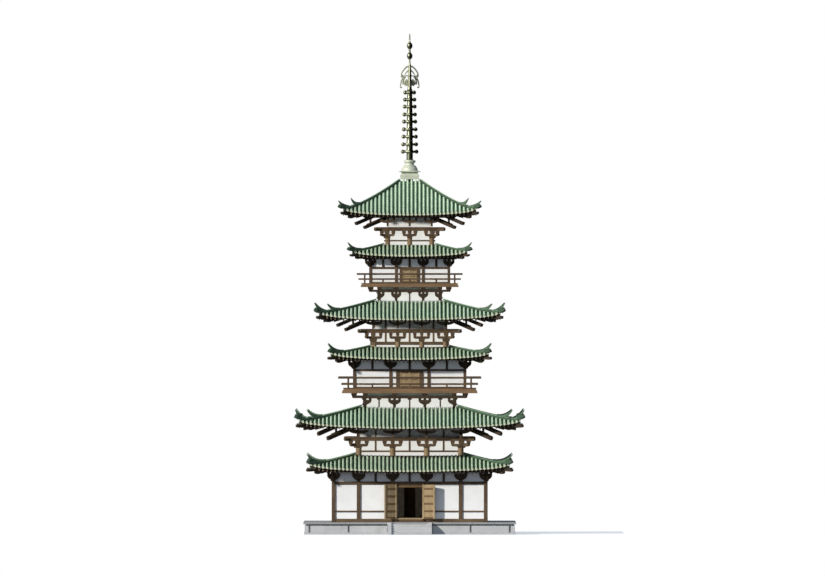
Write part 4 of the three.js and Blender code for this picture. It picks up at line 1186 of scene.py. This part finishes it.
def hip_ridges(level):
    """The ridges over all four hips of one roof."""
    roof = roofs[level]
    start, horns = ridges[level].start, ridges[level].horns
    out, low, high = ridges[level].block
    tip = horns[-1]

    def hip(v):
        return tile_height(roof, v, v)

    ridge = bmesh.new()
    into(ridge, ridge_tier(roof, (start, roof.outer - 0.2), -sunk, low_tier, 0))
    if len(horns) == 1:
        foot = 0.842 * roof.outer
        bend = foot + 0.55 * (tip[0] - foot)
        bend_height = hip(bend) + low_tier - 0.2
    else:
        foot = horns[0][0] + 0.06
        bend = (foot + tip[0]) / 2
        bend_height = hip(foot) + low_tier - 0.1
    into(ridge, horn((foot, hip(foot) + low_tier), (bend, bend_height), tip, ridge_half - 0.01))
    into(ridge, ridge_block(out - 0.05, low, high))
    if len(horns) == 2:
        tip = horns[0]
        step = tip[0] - 0.08
        into(ridge, ridge_tier(roof, (start, step - 0.1), low_tier - cap_radius, high_tier, -0.02))
        foot = tip[0] - 0.14 * roof.outer
        bend = foot + 0.5 * (tip[0] - foot)
        bend_height = hip(bend) + high_tier - 0.15
        into(ridge, horn((foot, hip(foot) + high_tier), (bend, bend_height), tip, ridge_half - 0.03))
        close = bmesh.new()
        close_z = (hip(step) + low_tier - 0.06, hip(step) + high_tier + 0.02)
        block(close, (-0.13, 0.13), (step - 0.2, step), close_z, 0.03)
        set_glaze(close, -0.085)
        into(ridge, close)
    move(ridge, along_hip)
    on_four_sides(ridge)
    return ridge


ridge_glaze = glazed_tile("dark_glazed_ridge_tile", "2a4430", "8fae8a", "3f5a42", "5f7a60")
for level in roofs:
    made = hip_ridges(level)
    piece(f"roof_{level}_hip_ridges", made, [ridge_glaze], [f"roof_{level}_tiles"])


# Central pillar: one tall cypress trunk, hewn round, that stands on the stone of the podium and
# runs free of the floors up to the basin, where it carries the finial.
trunk = bmesh.new()
cone(trunk, Matrix.Translation((0, 0, 12.82)), (0.4, 0.24), 23.96, 32)
for z in range(2, 25, 2):
    cut(trunk, (0, 0, z), (0, 0, 1))
run_grain(trunk, 2)
for face in trunk.faces:
    face.smooth = abs(face.normal.z) < 0.5
# The trunk takes the darker cypress as painted shade, since it stands inside.
piece("central_trunk", trunk, [shade_dark_cypress], ["central_pillar"])


# Finial: cast bronze with a pale green patina. A square basin and a thin plate stand on the
# roof, with a bell and a lotus flange on them. The shaft above carries nine rings, a crest of
# four openwork fins, two balls and a pointed rod, each slipped over the one below.
def patinated_bronze(name, dark, pale, dull, metal):
    """Bronze left out in the rain: a soft shine where it is rubbed, and a chalky bloom where not."""
    material, shader, place = new_material(name)
    cloud = add(material, "TexNoise", {"Vector": place["Object"], "Scale": 3.2, "Detail": 5})
    pits = add(material, "TexNoise", {"Vector": place["Object"], "Scale": 24.0, "Detail": 4})
    patina = add(material, "Mix", {0: cloud, 6: srgb(dark), 7: srgb(pale)}, data_type="RGBA")
    rough = add(material, "MapRange", {"Value": pits, "To Min": dull, "To Max": dull + 0.14})
    bump = add(material, "Bump", {"Height": pits, "Strength": 0.15, "Distance": 0.004})
    feed(shader, {"Base Color": patina, "Roughness": rough, "Normal": bump, "Metallic": metal})
    return material


def turned(bm, profile, steps=32):
    """A shape turned about the middle line from (radius, height) points."""
    part = bmesh.new()
    points = [part.verts.new((radius, 0, z)) for radius, z in profile]
    lines = [part.edges.new(pair) for pair in zip(points, points[1:])]
    whole_turn = {"cent": (0, 0, 0), "axis": (0, 0, 1), "angle": 2 * math.pi, "use_merge": True}
    bmesh.ops.spin(part, geom=points + lines, steps=steps, **whole_turn)
    bmesh.ops.remove_doubles(part, verts=part.verts, dist=0.0005)
    bmesh.ops.recalc_face_normals(part, faces=part.faces)
    for face in part.faces:
        face.smooth = True
    for edge in part.edges:
        edge.smooth = len(edge.link_faces) == 2 and edge.calc_face_angle() < 0.6
    into(bm, part)


bronze = patinated_bronze("rubbed_bronze", "62644f", "9da088", 0.3, 1.0)
dull_bronze = patinated_bronze("weathered_bronze", "85876f", "b2b59e", 0.5, 0.3)
# Partly patina and partly painted light: a paler copy of the bronze that paints the sunlit brightness of
# the basin and the bell.
lit_pale_bronze = patinated_bronze("bloomed_and_sunlit_bronze", "b4b7a1", "e3e7d6", 0.55, 0.3)

# The half widths of each square tier at its foot and head, and the heights of the two.
basin_tiers = [
    (0.64, 0.67, 24.8, 25.06),
    (0.67, 0.6, 25.06, 25.17),
    (0.58, 0.58, 25.16, 25.29),
    (0.6, 0.785, 25.28, 25.325),
    (0.785, 0.6, 25.325, 25.385),
]
basin = bmesh.new()
for foot, head, low, high in basin_tiers:
    stand = Matrix.Translation((0, 0, (low + high) / 2)) @ Matrix.Rotation(math.pi / 4, 4, "Z")
    cone(basin, stand, (foot * math.sqrt(2), head * math.sqrt(2)), high - low, 4)
piece("finial_square_basin", basin, [lit_pale_bronze], ["finial_basin"])

bell_profile = [
    (0, 25.38), (0.62, 25.38), (0.578, 25.405), (0.562, 25.45), (0.552, 25.52), (0.525, 25.59),
    (0.48, 25.65), (0.47, 25.655), (0.47, 25.69), (0.42, 25.74), (0.34, 25.79), (0.3, 25.81),
    (0.295, 25.9), (0.31, 25.915), (0.345, 25.96), (0.4, 26.01), (0.418, 26.04), (0.41, 26.11),
    (0.36, 26.115), (0.3, 26.15), (0, 26.15),
]  # fmt: skip
bell = bmesh.new()
turned(bell, bell_profile)
for i in range(12):
    petal = bmesh.new()
    bmesh.ops.create_uvsphere(petal, u_segments=8, v_segments=6, radius=1)
    seat = Matrix.Rotation(i * math.pi / 6, 4, "Z") @ Matrix.Translation((0.37, 0, 26.03))
    move(petal, seat @ Matrix.Diagonal((0.035, 0.085, 0.07, 1)))
    for face in petal.faces:
        face.smooth = True
    into(bell, petal)
piece("finial_bell", bell, [lit_pale_bronze], ["finial_bowl"])

ring_heights = (26.73, 27.24, 27.78, 28.29, 28.83, 29.33, 29.88, 30.37, 30.87)
shaft_radius = (0.24, 0.195)
ring_radius = (0.62, 0.455)
knob = 0.145
collar = ((-0.015, -0.1), (0.02, -0.09), (0.03, -0.02), (0.01, 0.05), (-0.015, 0.12))
hoop_angles = [k * math.pi / 3 for k in range(7)]
profile = [(0, 26.15), (0.24, 26.15), (0.24, 26.2), (0.225, 26.22)]
rings = bmesh.new()
for i, height in enumerate(ring_heights):
    share = i / (len(ring_heights) - 1)
    hub = shaft_radius[0] + share * (shaft_radius[1] - shaft_radius[0])
    reach = ring_radius[0] + share * (ring_radius[1] - ring_radius[0]) - knob
    profile += [(hub + out, height + up) for out, up in collar]
    hoop = [(reach + 0.02 * math.cos(a), height + 0.05 * math.sin(a)) for a in hoop_angles]
    turned(rings, hoop, 24)
    for quarter in range(4):
        arm = bmesh.new()
        lay = Matrix.Translation(((hub + reach) / 2, 0, height)) @ Matrix.Rotation(math.pi / 2, 4, "Y")
        cone(arm, lay, (0.075, 0.125), reach - hub + 0.04, 10, False)
        ball = bmesh.new()
        bmesh.ops.create_uvsphere(ball, u_segments=14, v_segments=10, radius=knob)
        move(ball, Matrix.Translation((reach, 0, height)))
        into(arm, ball)
        move(arm, Matrix.Rotation(quarter * math.pi / 2, 4, "Z"))
        for face in arm.faces:
            face.smooth = True
        into(rings, arm)
profile += [(0.2, 31.02), (0.15, 31.12), (0.14, 31.3), (0.1, 32.75), (0.06, 32.9), (0.05, 33.18)]
for middle in (33.43, 34.14):
    for swell in (math.radians(a) for a in range(10, 180, 17)):
        profile.append((0.05 + 0.15 * math.sin(swell) ** 1.3, middle - 0.24 * math.cos(swell)))
profile += [(0.055, 34.42), (0.05, 34.6), (0.045, 34.85), (0.035, 34.96), (0, 35.0)]
turned(rings, profile)
piece("finial_rings_and_shaft", rings, [bronze], ["finial_shaft"])

# The crest has four fins of plain scrolls, cut from plate, with their feet curled in.
scrolls = [
    (0.12, [(0.1, 32.7), (0.22, 32.66), (0.35, 32.54), (0.46, 32.4), (0.55, 32.25), (0.59, 32.1),
            (0.55, 32.0)]),
    (0.2, [(0.58, 32.06), (0.5, 31.99), (0.42, 31.99), (0.36, 32.05)]),
    (0.1, [(0.1, 32.42), (0.19, 32.33), (0.28, 32.23), (0.35, 32.1)]),
    (0.08, [(0.1, 32.02), (0.22, 32.05), (0.36, 32.02)]),
    (0.11, [(0.42, 32.0), (0.49, 31.88), (0.56, 31.75), (0.61, 31.6), (0.64, 31.42), (0.65, 31.24)]),
    (0.3, [(0.12, 31.72), (0.22, 31.64), (0.32, 31.54), (0.4, 31.42)]),
    (0.12, [(0.28, 32.0), (0.38, 31.88), (0.45, 31.72), (0.48, 31.56), (0.5, 31.42)]),
    (0.1, [(0.66, 31.24), (0.6, 31.2), (0.53, 31.26)]),
    (0.16, [(0.1, 31.5), (0.2, 31.42), (0.3, 31.34)]),
]  # fmt: skip
crest = bmesh.new()
for width, path in scrolls:
    wide = [width * (1 - 0.4 * (i / (len(path) - 1)) ** 2) for i in range(len(path))]
    curl(crest, path, wide, [0.055] * len(path))
on_four_sides(crest)
collar = [(0.13, 31.26), (0.15, 31.3), (0.135, 31.34), (0.12, 32.0), (0.1, 32.6), (0.12, 32.66)]
turned(crest, [(0, 31.26), *collar, (0.1, 32.7), (0, 32.7)], 16)
piece("finial_openwork_crest", crest, [dull_bronze], ["finial_flame"])


# Floor: pale and matt, with a glow of its own. It throws no light on the pagoda, so that the
# undersides of the eaves stay dark.
floor_mesh = bmesh.new()
bmesh.ops.create_grid(floor_mesh, x_segments=1, y_segments=1, size=15)
floor_data = bpy.data.meshes.new("floor")
floor_mesh.to_mesh(floor_data)
floor_mesh.free()
paper, shader, _ = new_material("pale_matt_floor")
feed(shader, {"Base Color": srgb("e6e6e6"), "Roughness": 0.95, "Specular IOR Level": 0.0})
feed(shader, {"Emission Color": srgb("ffffff"), "Emission Strength": 0.4})
floor_data.materials.append(paper)
floor = show("floor", floor_data)
floor.visible_diffuse = False


# Light: a warm sun from the upper left in front. The eaves would keep it off what stands back
# under the main roofs, so that part has a second sun from the same side, lower down. A bluish
# sky fills the shade. It is darker below, and polished bronze sees it bright on the left only.
def add_sun(name, energy, fall, lit, shading):
    """A sun that lights some objects and is shaded by some."""
    light = bpy.data.lights.new(name, "SUN")
    light.energy = energy
    light.angle = math.radians(3)
    light.color = (1.0, 0.965, 0.9)
    lamp = show(name, light)
    lamp.rotation_euler = Vector((1.22, 1.0, fall)).to_track_quat("-Z", "Y").to_euler()
    for kind, objects in (("receiver", lit), ("blocker", shading)):
        linked = bpy.data.collections.new(f"{name}_{kind}s")
        for shown in objects:
            linked.objects.link(shown)
        setattr(lamp.light_linking, f"{kind}_collection", linked)


meshes = {shown.name: shown for shown in bpy.context.scene.objects if shown.type == "MESH"}
set_back = [f"core_{level}_{part}" for level in (1, 2, 3) for part in ("walls", "pillars", "bracket_sets")]
set_back += [f"balcony_{level}_{part}" for level in (2, 3) for part in ("walls", "base_timbers")]
eaves = [f"roof_{level}_{part}" for level in roofs for part in ("rafters", "tile_rows")]
in_the_open = [shown for name, shown in meshes.items() if name not in set_back]
all_but_rails = [shown for name, shown in meshes.items() if not name.endswith("_rails")]
add_sun("sun", 3.7, -0.6, in_the_open, all_but_rails)
add_sun("low_sun", 3.5, -0.18, [meshes[name] for name in set_back], [meshes[name] for name in eaves])

scene = bpy.context.scene
sky = bpy.data.worlds.new("sky")
sky.use_nodes = True
light = sky.node_tree.nodes["Background"]
aim = add(sky, "TexCoord", {}).outputs["Generated"]
ray = add(sky, "LightPath", {}).outputs
height = add(sky, "SeparateXYZ", {0: aim}).outputs["Z"]
above = add(sky, "MapRange", {"Value": height, "From Min": -0.08, "From Max": 0.06})
dome = add(sky, "Mix", {0: above, 6: srgb("90959c"), 7: srgb("d6e4fa")}, data_type="RGBA")
toward = add(sky, "VectorMath", {0: aim, 1: (-0.98, -0.12, 0.15)}, operation="DOT_PRODUCT")
flag = add(sky, "MapRange", {"Value": toward, "From Min": 0.2, "From Max": 0.7, "To Min": 0.0})
mirrored = add(sky, "Mix", {0: flag, 6: srgb("0c0d0e"), 7: srgb("ffffff")}, data_type="RGBA")
seen = add(sky, "Mix", {0: ray["Is Glossy Ray"], 6: dome, 7: mirrored}, data_type="RGBA")
feed(light, {"Color": seen, "Strength": 0.56})
backdrop = add(sky, "Background", {"Color": srgb("ffffff"), "Strength": 1.0})
choose = add(sky, "MixShader", {0: ray["Is Camera Ray"], 1: light, 2: backdrop})
feed(sky.node_tree.nodes["World Output"], {"Surface": choose})
scene.world = sky
scene.view_settings.view_transform = "Standard"
scene.view_settings.look = "None"

# Camera: a long lens, level with the middle of the tower. It stands as far off as the clip range
# of the other views allows, so that near and far parts keep their true sizes as in the photo.
lens = bpy.data.cameras.new("camera")
lens.sensor_width = 36
lens.lens = 1100
lens.clip_end = 12000
camera = show("camera", lens)
camera.location = (0.196, -1764.6, 17.185)
camera.rotation_euler = (math.pi / 2, 0, 0)
scene.camera = camera
